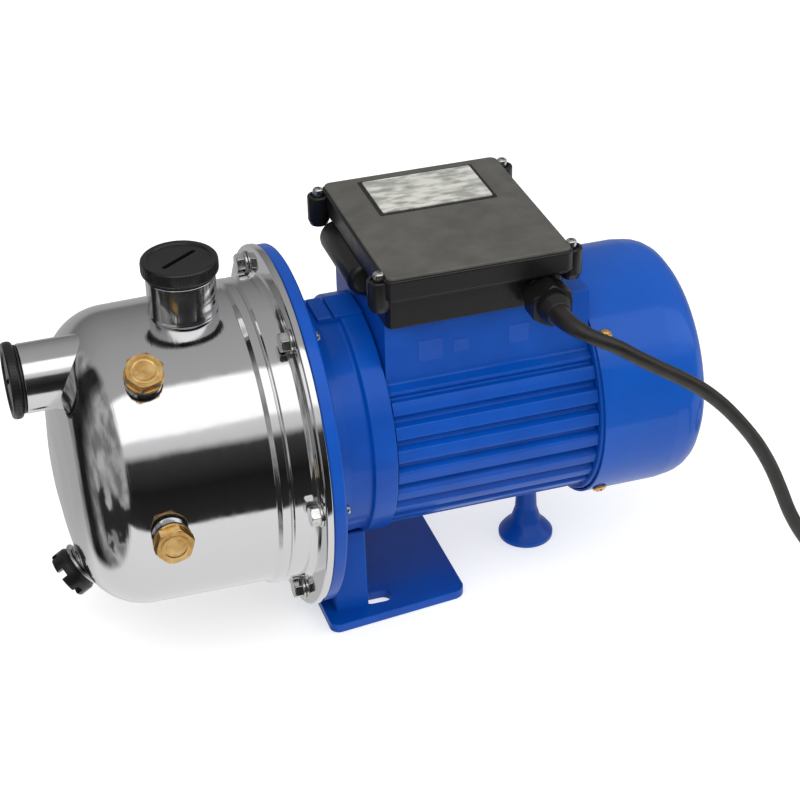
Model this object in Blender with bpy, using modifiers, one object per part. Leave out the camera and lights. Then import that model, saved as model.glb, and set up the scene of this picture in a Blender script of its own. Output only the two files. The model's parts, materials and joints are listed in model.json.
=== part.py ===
"""Shallow well jet pump: a stainless self-priming pump end on a finned induction motor.

Every sub-part is one object. The shaft lies along X, the suction port faces -X and the
cooling fan is at +X. The pump stands on z = 0. Lengths are in metres.
"""
import math

import bmesh
import bpy
from mathutils import Matrix, Vector

# Frame: positions below are measured along X from the joint between pump and motor
# bracket; the whole assembly hangs on an empty that puts its middle on the origin.
JOINT_X = -0.04505
SHAFT_Z = 0.111

# Pump casing and its flange
CASING_R = 0.0845
CASING_STEP_R = 0.0865
CASING_WALL = 0.002
SHOULDER_X = -0.0895
SHOULDER_R = 0.036
NOSE_X = -0.1305
NOSE_EDGE_R = 0.026
NOSE_RISE = 0.0015
FLANGE_R = 0.103
FLANGE_T = 0.0045
BOLT_CIRCLE = 0.093
BOLT_COUNT = 6

# Ports: 1 inch pipe thread, minor radius and tube radius
PORT_BORE = 0.0152
PORT_TUBE = 0.0190
PORT_CAP = 0.0208
SUCTION_Z = SHAFT_Z + 0.059
SUCTION_END_X = -0.1418
DISCHARGE_X = -0.0515
DISCHARGE_TOP_Z = 0.2165
STUB_ROOT_X = -0.1055
DISCHARGE_CAP_T = 0.0080
SUCTION_CAP_T = 0.0056
PORT_SEAL_T = 0.0014

# Small threaded plugs in the casing
PLUG_X = -0.084
FILL_ANGLE = math.radians(58)
GAUGE_ANGLE = math.radians(0)
DRAIN_ANGLE = math.radians(33)
DRAIN_BOSS_H = 0.0008
PLUG_BORE = 0.0066
PLUG_HEAD_AF = 0.0190
BOSS_TOP_R = 0.0872
WASHER_T = 0.0014
BRASS_HEAD_T = 0.0070

# Ejector behind the suction port
CHAMBER_X0 = -0.1030
CHAMBER_X1 = -0.0790

# Motor
NECK_R = 0.068
COLLAR_R = 0.0685
HOUSING_X0 = 0.0473
HOUSING_X1 = 0.1650
HOUSING_R = 0.0575
FIN_R = 0.0665
FIN_STEP = math.radians(12)
FIN_COUNT = 21
STATOR_BORE = 0.0500
PAD_HALF = 0.046
PAD_TOP_Z = 0.1905
COVER_R = 0.0712
COVER_WALL = 0.0015
COVER_X0 = 0.1670
COVER_X1 = 0.2395
COVER_DOME = [(0.2147, COVER_R), (0.2214, 0.0704), (0.2260, 0.0682), (0.2300, 0.0642),
              (0.2335, 0.0576), (0.2362, 0.0482), (0.2385, 0.0330), (COVER_X1, 0)]
AIR_HOLE_COUNT = 10
COVER_SCREW_X = 0.1735

# Terminal box
BOX_X0 = 0.0470
BOX_X1 = 0.1475
BOX_HALF = 0.0525
BOX_Z0 = 0.1909
BOX_SPLIT_Z = 0.2120
LID_X0 = 0.0440
LID_X1 = 0.1500
LID_HALF = 0.0600
LID_TOP_Z = 0.2260
EAR_R = 0.0062
EAR_Y = 0.0530
GLAND_X = 0.1335
GLAND_Z = 0.1990

# Feet
PLATE_X0 = 0.0085
PLATE_X1 = 0.0925
PLATE_FRONT_HALF = 0.057
PLATE_REAR_HALF = 0.048
PLATE_T = 0.0055
REAR_FOOT_X = 0.148

# Mains cord
CORD_R = 0.004
COIL_CENTRE = (0.382, -0.0495)
COIL_INNER_R = 0.032
COIL_OUTER_R = 0.056
COIL_TOP_Z = 0.0165
PLUG_OFFSET = (0.0520, 0.0300)
PLUG_Z = 0.0186

GAP = 0.0003
STAINLESS = ((0.75, 0.76, 0.78, 1), 0.12, 1.0)
STEEL = ((0.55, 0.56, 0.58, 1), 0.30, 1.0)
BRASS = ((0.72, 0.50, 0.20, 1), 0.30, 1.0)
COPPER = ((0.70, 0.33, 0.16, 1), 0.40, 1.0)
BLUE = ((0.012, 0.085, 0.420, 1), 0.30, 0.0)
BLACK = ((0.020, 0.020, 0.020, 1), 0.45, 0.0)
LID_BLACK = ((0.060, 0.060, 0.055, 1), 0.45, 0.0)
RUBBER = ((0.015, 0.015, 0.015, 1), 0.70, 0.0)
RESIN = ((0.05, 0.06, 0.08, 1), 0.50, 0.0)
CARBON = ((0.10, 0.10, 0.10, 1), 0.50, 0.0)
CERAMIC = ((0.85, 0.83, 0.78, 1), 0.35, 0.0)
CAN_WHITE = ((0.80, 0.80, 0.78, 1), 0.50, 0.0)
LABEL = ((0.62, 0.62, 0.58, 1), 0.40, 0.6)

FULL_TURN = 2 * math.pi
BIG = 24
MEDIUM = 16
SMALL = 12


def clear_scene():
    """Remove every object that the startup file brings."""
    for obj in list(bpy.data.objects):
        bpy.data.objects.remove(obj, do_unlink=True)


def make_collection(name):
    """A new collection in the scene."""
    made = bpy.data.collections.new(name)
    bpy.context.scene.collection.children.link(made)
    return made


def make_material(name, look):
    """A plain Principled material from (colour, roughness, metallic)."""
    if name in bpy.data.materials:
        return bpy.data.materials[name]
    colour, rough, metal = look
    made = bpy.data.materials.new(name)
    made.use_nodes = True
    shader = made.node_tree.nodes["Principled BSDF"]
    shader.inputs["Base Color"].default_value = colour
    shader.inputs["Roughness"].default_value = rough
    shader.inputs["Metallic"].default_value = metal
    return made


clear_scene()
PARTS = make_collection("shallow_well_jet_pump")
CUTTERS = make_collection("cutters")
ROOT = bpy.data.objects.new("pump_frame", None)
PARTS.objects.link(ROOT)
ROOT.location = (JOINT_X, 0, 0)


def add_object(name, data, look, cutter=False):
    """Link an object to its collection, under the pump frame, with its material."""
    obj = bpy.data.objects.new(name, data)
    obj.parent = ROOT
    if cutter:
        CUTTERS.objects.link(obj)
        obj.hide_render = True
        obj.display_type = "WIRE"
    else:
        PARTS.objects.link(obj)
        data.materials.append(make_material("mat_" + look[0], look[1]))
    return obj


def aim(obj, place, direction):
    """Put the object's origin at a place and its own Z along a direction."""
    obj.location = place
    obj.rotation_euler = Vector(direction).to_track_quat("Z", "Y").to_euler()
    return obj


def signed_area(points):
    """Shoelace area of (along, radius) points taken in the (radius, along) plane."""
    total = 0.0
    for (z0, r0), (z1, r1) in zip(points, points[1:] + points[:1]):
        total += r0 * z1 - r1 * z0
    return total / 2


def turned(name, look, outline, place, direction=(1, 0, 0), steps=MEDIUM, cutter=False):
    """A turned solid: (along, radius) points spun round the axis through the place.

    An outline that starts and ends at radius 0 is solid; any other is a closed ring.
    """
    points = list(outline)
    if signed_area(points) > 0:
        points.reverse()
    solid = points[0][1] == 0 and points[-1][1] == 0
    count = len(points)
    edges = [(i, i + 1) for i in range(count - 1)]
    if not solid:
        edges.append((count - 1, 0))
    mesh = bpy.data.meshes.new(name)
    mesh.from_pydata([(radius, 0, along) for along, radius in points], edges, [])
    obj = add_object(name, mesh, look, cutter)
    spin = obj.modifiers.new("spin", "SCREW")
    spin.axis = "Z"
    spin.angle = FULL_TURN
    spin.steps = steps
    spin.render_steps = steps
    spin.use_merge_vertices = True
    spin.merge_threshold = 0.00001
    spin.use_smooth_shade = True
    return aim(obj, place, direction)


def ring(name, look, inner, outer, start, end, **options):
    """A plain bush about the shaft axis between two x positions."""
    outline = [(start, outer), (end, outer), (end, inner), (start, inner)]
    return turned(name, look, outline, (0, 0, SHAFT_Z), **options)


def rod(name, look, radius, place, direction, start, end, sides=SMALL, cutter=False):
    """A solid round bar, from start to end along a direction through a place."""
    mesh = bpy.data.meshes.new(name)
    shape = bmesh.new()
    bmesh.ops.create_cone(
        shape, cap_ends=True, segments=sides, radius1=radius, radius2=radius,
        depth=end - start, matrix=Matrix.Translation((0, 0, (start + end) / 2)))
    shape.to_mesh(mesh)
    shape.free()
    mesh.shade_smooth()
    mesh.set_sharp_from_angle(angle=math.radians(40))
    return aim(add_object(name, mesh, look, cutter), place, direction)


def block(name, look, low, high, bevel=0.0, cutter=False):
    """A box between two corners, with rounded edges if asked."""
    low, high = Vector(low), Vector(high)
    mesh = bpy.data.meshes.new(name)
    shape = bmesh.new()
    bmesh.ops.create_cube(shape, size=1.0, matrix=Matrix.Diagonal((*(high - low), 1)))
    shape.to_mesh(mesh)
    shape.free()
    obj = add_object(name, mesh, look, cutter)
    obj.location = (low + high) / 2
    if bevel:
        rounding = obj.modifiers.new("rounding", "BEVEL")
        rounding.width = bevel
        rounding.segments = 2
    return obj


def boolean(target, tool, operation):
    """Join a tool to the target or cut it away, with the exact solver."""
    step = target.modifiers.new(tool.name, "BOOLEAN")
    step.operation = operation
    step.object = tool
    step.solver = "EXACT"
    return target


def cut(target, *tools):
    """Cut each tool out of the target."""
    for tool in tools:
        boolean(target, tool, "DIFFERENCE")
    return target


def join(target, *tools):
    """Join each tool to the target."""
    for tool in tools:
        boolean(target, tool, "UNION")
    return target


def circle_points(radius, count, turn=0.0):
    """Points round a circle about (0, 0)."""
    steps = [turn + FULL_TURN * i / count for i in range(count)]
    return [(radius * math.cos(a), radius * math.sin(a)) for a in steps]


def flat(name, look, outlines, thickness, place, axis):
    """A flat plate from closed outlines: the first is the edge, the others are holes."""
    data = bpy.data.curves.new(name, "CURVE")
    data.dimensions = "2D"
    data.fill_mode = "BOTH"
    data.extrude = thickness / 2
    for outline in outlines:
        spline = data.splines.new("POLY")
        spline.points.add(len(outline) - 1)
        for point, (u, v) in zip(spline.points, outline):
            point.co = (u, v, 0, 1)
        spline.use_cyclic_u = True
    obj = add_object(name, data, look)
    obj.location = place
    if axis == "X":
        obj.rotation_euler = (math.pi / 2, 0, math.pi / 2)
    return obj


def as_mesh(obj):
    """Turn a curve object into a mesh object of the same name, its caps welded."""
    bpy.context.view_layer.update()
    graph = bpy.context.evaluated_depsgraph_get()
    mesh = bpy.data.meshes.new_from_object(obj.evaluated_get(graph))
    shape = bmesh.new()
    shape.from_mesh(mesh)
    bmesh.ops.remove_doubles(shape, verts=shape.verts, dist=0.00001)
    bmesh.ops.recalc_face_normals(shape, faces=shape.faces)
    shape.to_mesh(mesh)
    shape.free()
    name = obj.name
    place, turn = obj.location.copy(), obj.rotation_euler.copy()
    bpy.data.objects.remove(obj, do_unlink=True)
    made = bpy.data.objects.new(name, mesh)
    made.parent = ROOT
    made.location, made.rotation_euler = place, turn
    PARTS.objects.link(made)
    return made


def arc(centre_x, centre_r, radius, start, end, count):
    """(along, radius) points of an arc, angles in degrees from +X towards +radius."""
    points = []
    for i in range(count + 1):
        angle = math.radians(start + (end - start) * i / count)
        points.append((centre_x + radius * math.cos(angle), centre_r + radius * math.sin(angle)))
    return points


def radial(angle):
    """Unit vector square to the shaft, at an angle above the near side (-Y)."""
    return Vector((0, -math.cos(angle), math.sin(angle)))


def around(count, start=0.0):
    """Evenly spaced angles round the shaft."""
    return [start + FULL_TURN * i / count for i in range(count)]


# ---------------------------------------------------------------- pump end

DRAIN_DIR = Vector((-math.cos(DRAIN_ANGLE), 0, -math.sin(DRAIN_ANGLE)))
DRAIN_ROOT = Vector((SHOULDER_X, 0, SHAFT_Z - (CASING_R - 0.001 - SHOULDER_R)))


def casing_outline():
    """Section of the drawn casing, outside from the flange to the nose, then inside back."""
    shoulder_r = CASING_R - 0.001 - SHOULDER_R
    inner = SHOULDER_R - CASING_WALL
    outside = [(-GAP, FLANGE_R), (-FLANGE_T, FLANGE_R), (-FLANGE_T, CASING_STEP_R + 0.001)]
    outside += [(-FLANGE_T - 0.0012, CASING_STEP_R), (-0.0240, CASING_STEP_R), (-0.0265, CASING_R)]
    outside += arc(SHOULDER_X, shoulder_r, SHOULDER_R, 90, 172, 5)
    outside += [(NOSE_X + NOSE_RISE, NOSE_EDGE_R), (NOSE_X, 0)]
    inside = [(NOSE_X + CASING_WALL, 0), (NOSE_X + CASING_WALL + NOSE_RISE, NOSE_EDGE_R)]
    inside += arc(SHOULDER_X, shoulder_r, inner, 172, 90, 5)
    inside += [(-0.0260, CASING_R - CASING_WALL), (-0.0235, CASING_STEP_R - CASING_WALL)]
    inside += [(-GAP, CASING_STEP_R - CASING_WALL)]
    return outside, inside


def make_pump_casing():
    """The deep drawn stainless casing with its two pipe stubs and three threaded bosses."""
    outside, inside = casing_outline()
    loop = outside + inside
    nose = loop.index((NOSE_X, 0))
    ordered = loop[nose + 1:] + loop[:nose + 1]
    casing = turned("pump_casing", ("stainless", STAINLESS), ordered, (0, 0, SHAFT_Z), steps=BIG)
    stub = rod("suction_stub", None, PORT_TUBE, (0, 0, SUCTION_Z), (1, 0, 0),
               SUCTION_END_X, STUB_ROOT_X, MEDIUM, cutter=True)
    riser = rod("discharge_stub", None, PORT_TUBE, (DISCHARGE_X, 0, 0), (0, 0, 1),
                SHAFT_Z + 0.0795, DISCHARGE_TOP_Z, MEDIUM, cutter=True)
    bosses = [stub, riser]
    for label, angle in (("fill", FILL_ANGLE), ("gauge", GAUGE_ANGLE)):
        bosses.append(rod(label + "_boss", None, 0.0104, (PLUG_X, 0, SHAFT_Z), radial(angle),
                          CASING_R - 0.0035, BOSS_TOP_R, SMALL, cutter=True))
    bosses.append(rod("drain_boss", None, 0.0112, DRAIN_ROOT, DRAIN_DIR,
                      SHOULDER_R - 0.0035, SHOULDER_R + DRAIN_BOSS_H, SMALL, cutter=True))
    join(casing, *bosses)
    bores = [
        rod("suction_bore", None, PORT_BORE, (0, 0, SUCTION_Z), (1, 0, 0),
            SUCTION_END_X - 0.01, STUB_ROOT_X + 0.003, MEDIUM, cutter=True),
        rod("discharge_bore", None, PORT_BORE, (DISCHARGE_X, 0, 0), (0, 0, 1),
            SHAFT_Z + 0.0720, DISCHARGE_TOP_Z + 0.01, MEDIUM, cutter=True),
        rod("drain_bore", None, PLUG_BORE, DRAIN_ROOT, DRAIN_DIR,
            SHOULDER_R - 0.010, SHOULDER_R + 0.010, SMALL, cutter=True)]
    for label, angle in (("fill", FILL_ANGLE), ("gauge", GAUGE_ANGLE)):
        bores.append(rod(label + "_bore", None, PLUG_BORE, (PLUG_X, 0, SHAFT_Z), radial(angle),
                         CASING_R - 0.010, BOSS_TOP_R + 0.005, SMALL, cutter=True))
    for number, angle in enumerate(around(BOLT_COUNT), 1):
        place = Vector((0, 0, SHAFT_Z)) + radial(angle) * BOLT_CIRCLE
        bores.append(rod(f"casing_bolt_hole_{number}", None, 0.0034, place, (1, 0, 0),
                         -0.010, 0.004, 12, cutter=True))
    return cut(casing, *bores)


def make_port_plug(label, place, direction, head):
    """A black pipe plug with a thick rim and a coin slot, and the seal under its rim."""
    turned(label + "_seal", ("rubber", RUBBER),
           [(GAP, PORT_TUBE - 0.0002), (GAP + PORT_SEAL_T, PORT_TUBE - 0.0002),
            (GAP + PORT_SEAL_T, PORT_BORE), (GAP, PORT_BORE)], place, direction)
    base = 2 * GAP + PORT_SEAL_T
    shank = PORT_BORE - 0.0004
    outline = [(-0.010, 0), (-0.010, shank - 0.001), (-0.009, shank), (base, shank),
               (base, PORT_CAP), (base + head - 0.001, PORT_CAP),
               (base + head, PORT_CAP - 0.001), (base + head, 0)]
    plug = turned(label + "_plug", ("black", BLACK), outline, place, direction)
    slot = block(label + "_slot", None, (-0.0016, -0.0125, base + head - 0.0025),
                 (0.0016, 0.0125, base + head + 0.004), cutter=True)
    middle = slot.location.copy()
    aim(slot, place, direction)
    slot.location = Vector(place) + Vector(direction).normalized() * middle.z
    return cut(plug, slot)


def hex_plug(name, look, base, head, across_flats, shank_r, shank, place, direction):
    """A hexagon plug: its head above the base plane and a round shank below it."""
    plug = rod(name, look, across_flats / math.sqrt(3), place, direction, base, base + head, 6)
    stem = rod(name + "_shank", None, shank_r, place, direction,
               base - shank, base + head / 2, SMALL, cutter=True)
    return join(plug, stem)


def make_brass_plugs():
    """The filling plug on the shoulder and the gauge plug on the near side."""
    for label, angle in (("fill", FILL_ANGLE), ("gauge", GAUGE_ANGLE)):
        place = (PLUG_X, 0, SHAFT_Z)
        low = BOSS_TOP_R + GAP
        turned(label + "_washer", ("rubber", RUBBER),
               [(low, 0.0104), (low + WASHER_T, 0.0104), (low + WASHER_T, PLUG_BORE),
                (low, PLUG_BORE)], place, radial(angle), SMALL)
        hex_plug(label + "_plug", ("brass", BRASS), low + WASHER_T + GAP, BRASS_HEAD_T,
                 PLUG_HEAD_AF, PLUG_BORE - 0.0004, 0.0100, place, radial(angle))


def make_drain_plug():
    """The black castellated drain knob low on the nose, and its steel washer."""
    low = SHOULDER_R + DRAIN_BOSS_H + GAP
    turned("drain_washer", ("steel", STEEL),
           [(low, 0.0135), (low + WASHER_T, 0.0135), (low + WASHER_T, PLUG_BORE),
            (low, PLUG_BORE)], DRAIN_ROOT, DRAIN_DIR, 24)
    base = low + WASHER_T + GAP
    outline = [(base - 0.010, 0), (base - 0.010, PLUG_BORE - 0.0004), (base, PLUG_BORE - 0.0004),
               (base, 0.0120), (base + 0.0030, 0.0138), (base + 0.0105, 0.0138),
               (base + 0.0105, 0.0080), (base + 0.0045, 0.0080), (base + 0.0045, 0)]
    knob = turned("drain_plug", ("black", BLACK), outline, DRAIN_ROOT, DRAIN_DIR, 24)
    for number in range(3):
        notch = block(f"drain_notch_{number}", None, (-0.0024, -0.020, base + 0.0065),
                      (0.0024, 0.020, base + 0.020), cutter=True)
        height = notch.location.z
        notch.data.transform(Matrix.Rotation(number * math.pi / 3, 4, "Z"))
        aim(notch, DRAIN_ROOT + DRAIN_DIR * height, DRAIN_DIR)
        cut(knob, notch)
    return knob


def make_ejector():
    """Suction chamber, nozzle and venturi tube that draw the water into the impeller."""
    shell = block("suction_chamber", ("resin", RESIN), (CHAMBER_X0, -0.0145, SHAFT_Z - 0.0160),
                  (CHAMBER_X1, 0.0145, SHAFT_Z + 0.0710), 0.0015)
    inside = block("chamber_hollow", None, (CHAMBER_X0 + 0.0020, -0.0125, SHAFT_Z - 0.0140),
                   (CHAMBER_X1 - 0.0020, 0.0125, SHAFT_Z + 0.0690), cutter=True)
    inlet = rod("chamber_inlet", None, 0.0112, (0, 0, SHAFT_Z + 0.0570), (1, 0, 0),
                CHAMBER_X0 - 0.0080, CHAMBER_X0 + 0.0120, SMALL, cutter=True)
    nozzle_seat = rod("nozzle_seat", None, 0.0061, (0, 0, SHAFT_Z), (1, 0, 0),
                      CHAMBER_X0 - 0.0080, CHAMBER_X0 + 0.0070, SMALL, cutter=True)
    venturi_seat = rod("venturi_seat", None, 0.0108, (0, 0, SHAFT_Z), (1, 0, 0),
                       CHAMBER_X1 - 0.0070, CHAMBER_X1 + 0.0030, SMALL, cutter=True)
    cut(shell, inside, inlet, nozzle_seat, venturi_seat)
    turned("jet_nozzle", ("brass", BRASS),
           [(-0.1140, 0.0057), (-0.0980, 0.0057), (-0.0880, 0.0032), (-0.0880, 0.0020),
            (-0.0980, 0.0036), (-0.1140, 0.0042)], (0, 0, SHAFT_Z), steps=SMALL)
    turned("venturi_tube", ("resin", RESIN),
           [(-0.0850, 0.0104), (-0.0720, 0.0098), (-0.0470, 0.0180), (-0.0470, 0.0158),
            (-0.0720, 0.0062), (-0.0850, 0.0086)], (0, 0, SHAFT_Z), steps=SMALL)


def make_diffuser():
    """The diffuser shell round the impeller, with its return ports."""
    outline = [(-0.0560, 0.0210), (-0.0460, 0.0210), (-0.0460, 0.0660), (-0.0060, 0.0660),
               (-0.0060, 0.0632), (-0.0430, 0.0632), (-0.0430, 0.0184), (-0.0560, 0.0184)]
    diffuser = turned("diffuser", ("resin", RESIN), outline, (0, 0, SHAFT_Z))
    for number, angle in enumerate(around(6), 1):
        place = Vector((0, 0, SHAFT_Z)) + radial(angle) * 0.052
        cut(diffuser, rod(f"return_port_{number}", None, 0.0055, place, (1, 0, 0),
                          -0.050, -0.040, 12, cutter=True))
    return diffuser


def make_impeller():
    """Closed impeller: hub and back plate, six vanes, and the front shroud."""
    hub = [(-0.0300, 0), (-0.0300, 0.0050), (-0.0270, 0.0095), (-0.0120, 0.0120),
           (-0.0120, 0.0580), (-0.0095, 0.0580), (-0.0095, 0.0063), (-0.0255, 0.0063), (-0.0255, 0)]
    impeller = turned("impeller", ("resin", RESIN), hub, (0, 0, SHAFT_Z))
    shroud = ring("impeller_shroud", None, 0.0200, 0.0580, -0.0225, -0.0200, cutter=True)
    vanes = []
    for number in range(6):
        vane = block(f"impeller_vane_{number}", None, (-0.0210, -0.0010, -0.0230),
                     (-0.0110, 0.0010, 0.0230), cutter=True)
        angle = number * FULL_TURN / 6
        vane.location = (-0.0160, 0.0340 * math.cos(angle), SHAFT_Z + 0.0340 * math.sin(angle))
        vane.rotation_euler = (angle - math.pi / 2 + math.radians(28), 0, 0)
        vanes.append(vane)
    return join(impeller, *vanes, shroud)


def make_shaft_seal():
    """Stainless seal plate, the fixed seat in it, and the seal head on the shaft."""
    turned("seal_plate", ("stainless", STAINLESS),
           [(GAP, 0.0832), (0.0019, 0.0832), (0.0019, 0.0138), (GAP, 0.0138)],
           (0, 0, SHAFT_Z), steps=BIG)
    ring("seal_seat", ("ceramic", CERAMIC), 0.0085, 0.0134, -0.0030, 0.0019, steps=SMALL)
    ring("seal_head", ("carbon", CARBON), 0.0074, 0.0125, -0.0086, -0.0034, steps=SMALL)
    section = [(0.0012 + 0.0010 * math.cos(a), 0.0870 + 0.0010 * math.sin(a)) for a in around(8)]
    turned("casing_o_ring", ("rubber", RUBBER), section, (0, 0, SHAFT_Z), steps=BIG)


def make_flange_bolts():
    """Six M6 bolts from the pump side through casing flange and bracket."""
    for number, angle in enumerate(around(BOLT_COUNT), 1):
        place = Vector((0, 0, SHAFT_Z)) + radial(angle) * BOLT_CIRCLE
        bolt = rod(f"flange_bolt_{number}", ("steel", STEEL), 0.0100 / math.sqrt(3), place,
                   (-1, 0, 0), FLANGE_T + GAP, FLANGE_T + GAP + 0.0060, 6)
        bolt.data.transform(Matrix.Rotation(angle + math.pi / 6, 4, "Z"))
        shank = rod(f"flange_bolt_shank_{number}", None, 0.0030, place, (-1, 0, 0),
                    -0.0105, FLANGE_T + 0.003, 12, cutter=True)
        join(bolt, shank)


# ---------------------------------------------------------------- motor

def make_motor_bracket():
    """Cast bracket between pump and motor: flange, web, bearing seat, neck and collar."""
    outline = [(0, 0.0835), (0, 0.0855), (0.0026, 0.0855), (0.0026, 0.0885), (0, 0.0885),
               (0, 0.1020), (0.0075, 0.1020), (0.0075, 0.0800), (0.0120, 0.0720),
               (0.0200, NECK_R), (0.0325, NECK_R - 0.0010), (0.0335, COLLAR_R),
               (0.0462, COLLAR_R), (0.0470, COLLAR_R - 0.001), (0.0470, 0.0580),
               (0.0220, 0.0580), (0.0120, 0.0500), (0.0120, 0.0245), (0.0300, 0.0245),
               (0.0300, 0.0178), (0.0180, 0.0178), (0.0180, 0.0145), (0.0023, 0.0145),
               (0.0023, 0.0835)]
    bracket = turned("motor_bracket", ("blue", BLUE), outline, (0, 0, SHAFT_Z), steps=BIG)
    for number, angle in enumerate(around(BOLT_COUNT), 1):
        place = Vector((0, 0, SHAFT_Z)) + radial(angle) * BOLT_CIRCLE
        cut(bracket, rod(f"bracket_bolt_hole_{number}", None, 0.0033, place, (1, 0, 0),
                         -0.004, 0.012, 12, cutter=True))
    return bracket


def make_bearing(label, start):
    """Outer and inner ring of a 6202 ball bearing."""
    ring(label + "_bearing_outer", ("steel", STEEL), 0.0140, 0.0175, start, start + 0.0110)
    ring(label + "_bearing_inner", ("steel", STEEL), 0.0077, 0.0108, start, start + 0.0110)


def fin_outline():
    """Outline of the finned housing: a round body with fins and a box pad on top."""
    top = PAD_TOP_Z - SHAFT_Z
    foot = math.sqrt(HOUSING_R ** 2 - PAD_HALF ** 2)
    points = [(-PAD_HALF, foot), (-PAD_HALF, top), (PAD_HALF, top), (PAD_HALF, foot)]
    for number in range(FIN_COUNT):
        middle = math.radians(30) - number * FIN_STEP
        for radius, side in ((HOUSING_R, 1), (FIN_R, 1), (FIN_R, -1), (HOUSING_R, -1)):
            half = math.radians(2.4 if radius == HOUSING_R else 1.5)
            angle = middle + side * half
            points.append((radius * math.cos(angle), radius * math.sin(angle)))
    return points


def make_motor_housing():
    """Extruded finned housing with the terminal box pad."""
    length = HOUSING_X1 - HOUSING_X0
    housing = flat("motor_housing", ("blue", BLUE), [fin_outline(), circle_points(STATOR_BORE, BIG)],
                   length, (HOUSING_X0 + length / 2, 0, SHAFT_Z), "X")
    return housing


def make_stator():
    """Laminated stator core and its winding, whose end turns join through the slots."""
    core = ring("stator_core", ("steel", STEEL), 0.0275, 0.0495, 0.0700, 0.1400, steps=BIG)
    winding = ring("stator_winding", ("copper", COPPER), 0.0310, 0.0460, 0.0520, 0.0690)
    rear = ring("winding_rear", None, 0.0310, 0.0460, 0.1410, 0.1575, cutter=True)
    bars = []
    for number, angle in enumerate(around(4, 0.2), 1):
        place = Vector((0, 0, SHAFT_Z)) + radial(angle) * 0.0385
        cut(core, rod(f"stator_slot_{number}", None, 0.0034, place, (1, 0, 0),
                      0.060, 0.150, 12, cutter=True))
        bars.append(rod(f"winding_bar_{number}", None, 0.0029, place, (1, 0, 0),
                        0.060, 0.150, 10, cutter=True))
    return join(winding, *bars, rear)


def make_rotor():
    """Stepped shaft and the squirrel cage rotor core on it."""
    steps = [(-0.0250, 0), (-0.0250, 0.0060), (-0.0090, 0.0060), (-0.0090, 0.0070),
             (0.0150, 0.0070), (0.0150, 0.0074), (0.0300, 0.0074), (0.0300, 0.0090),
             (0.1590, 0.0090), (0.1590, 0.0074), (0.1740, 0.0074), (0.1740, 0.0062),
             (0.2080, 0.0062), (0.2080, 0)]
    turned("rotor_shaft", ("steel", STEEL), steps, (0, 0, SHAFT_Z), steps=SMALL)
    ring("rotor_core", ("steel", STEEL), 0.0094, 0.0270, 0.0700, 0.1400)


def make_end_shield():
    """Rear end shield with the rear bearing seat and four cover screw holes."""
    outline = [(0.1653, 0.0690), (0.1780, 0.0690), (0.1780, 0.0620), (0.1740, 0.0620),
               (0.1740, 0.0225), (0.1760, 0.0225), (0.1760, 0.0100), (0.1725, 0.0100),
               (0.1725, 0.0178), (0.1600, 0.0178), (0.1600, 0.0225), (0.1700, 0.0225),
               (0.1700, 0.0620), (0.1653, 0.0620)]
    shield = turned("rear_end_shield", ("blue", BLUE), outline, (0, 0, SHAFT_Z), steps=BIG)
    for number, angle in enumerate(around(4, math.pi / 4), 1):
        cut(shield, rod(f"shield_screw_hole_{number}", None, 0.0023, (COVER_SCREW_X, 0, SHAFT_Z),
                        radial(angle), 0.0635, 0.0750, 10, cutter=True))
    return shield


def make_cooling_fan():
    """Black fan on the rear shaft end: hub, plate and seven blades."""
    outline = [(0.1800, 0.0066), (0.1800, 0.0130), (0.1860, 0.0130), (0.1860, 0.0560),
               (0.1885, 0.0560), (0.1885, 0.0130), (0.2060, 0.0120), (0.2060, 0.0066)]
    fan = turned("cooling_fan", ("black", BLACK), outline, (0, 0, SHAFT_Z))
    blades = []
    for number in range(7):
        angle = number * FULL_TURN / 7
        blade = block(f"fan_blade_{number}", None, (0.1870, -0.0009, -0.0225),
                      (0.2050, 0.0009, 0.0225), cutter=True)
        blade.location = (0.1960, 0.0335 * math.cos(angle), SHAFT_Z + 0.0335 * math.sin(angle))
        blade.rotation_euler = (angle - math.pi / 2, 0, 0)
        blades.append(blade)
    return join(fan, *blades)


def inset(points, wall):
    """A section line moved inwards by a wall, drawn from its far end back to its start."""
    moved = []
    for i, point in enumerate(points):
        before = Vector(points[max(i - 1, 0)])
        after = Vector(points[min(i + 1, len(points) - 1)])
        along = (after - before).normalized()
        moved.append((point[0] + wall * along.y, max(point[1] - wall * along.x, 0)))
    moved[-1] = (points[-1][0] - wall, 0)
    return moved[::-1]


def make_fan_cover():
    """Domed fan cover with a ring of air holes in its rear face."""
    outside = [(COVER_X0, COVER_R)] + COVER_DOME
    ordered = inset(outside, COVER_WALL) + outside
    cover = turned("fan_cover", ("blue", BLUE), ordered, (0, 0, SHAFT_Z), steps=BIG)
    for number, angle in enumerate(around(4, math.pi / 4), 1):
        cut(cover, rod(f"cover_screw_hole_{number}", None, 0.0023, (COVER_SCREW_X, 0, SHAFT_Z),
                       radial(angle), 0.0600, 0.0800, 10, cutter=True))
    for number, angle in enumerate(around(AIR_HOLE_COUNT), 1):
        place = Vector((0, 0, SHAFT_Z)) + radial(angle) * 0.0270
        cut(cover, rod(f"air_hole_{number}", None, 0.0058, place, (1, 0, 0),
                       0.2300, 0.2700, 10, cutter=True))
    return cover


def make_cover_screws():
    """Four screws that hold the fan cover to the end shield."""
    for number, angle in enumerate(around(4, math.pi / 4), 1):
        place = (COVER_SCREW_X, 0, SHAFT_Z)
        outline = [(0.0650, 0), (0.0650, 0.0019), (COVER_R + GAP, 0.0019), (COVER_R + GAP, 0.0042),
                   (COVER_R + 0.0016, 0.0038), (COVER_R + 0.0026, 0.0022), (COVER_R + 0.0027, 0)]
        turned(f"fan_cover_screw_{number}", ("brass", BRASS), outline, place, radial(angle), 12)


# ---------------------------------------------------------------- feet

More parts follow.
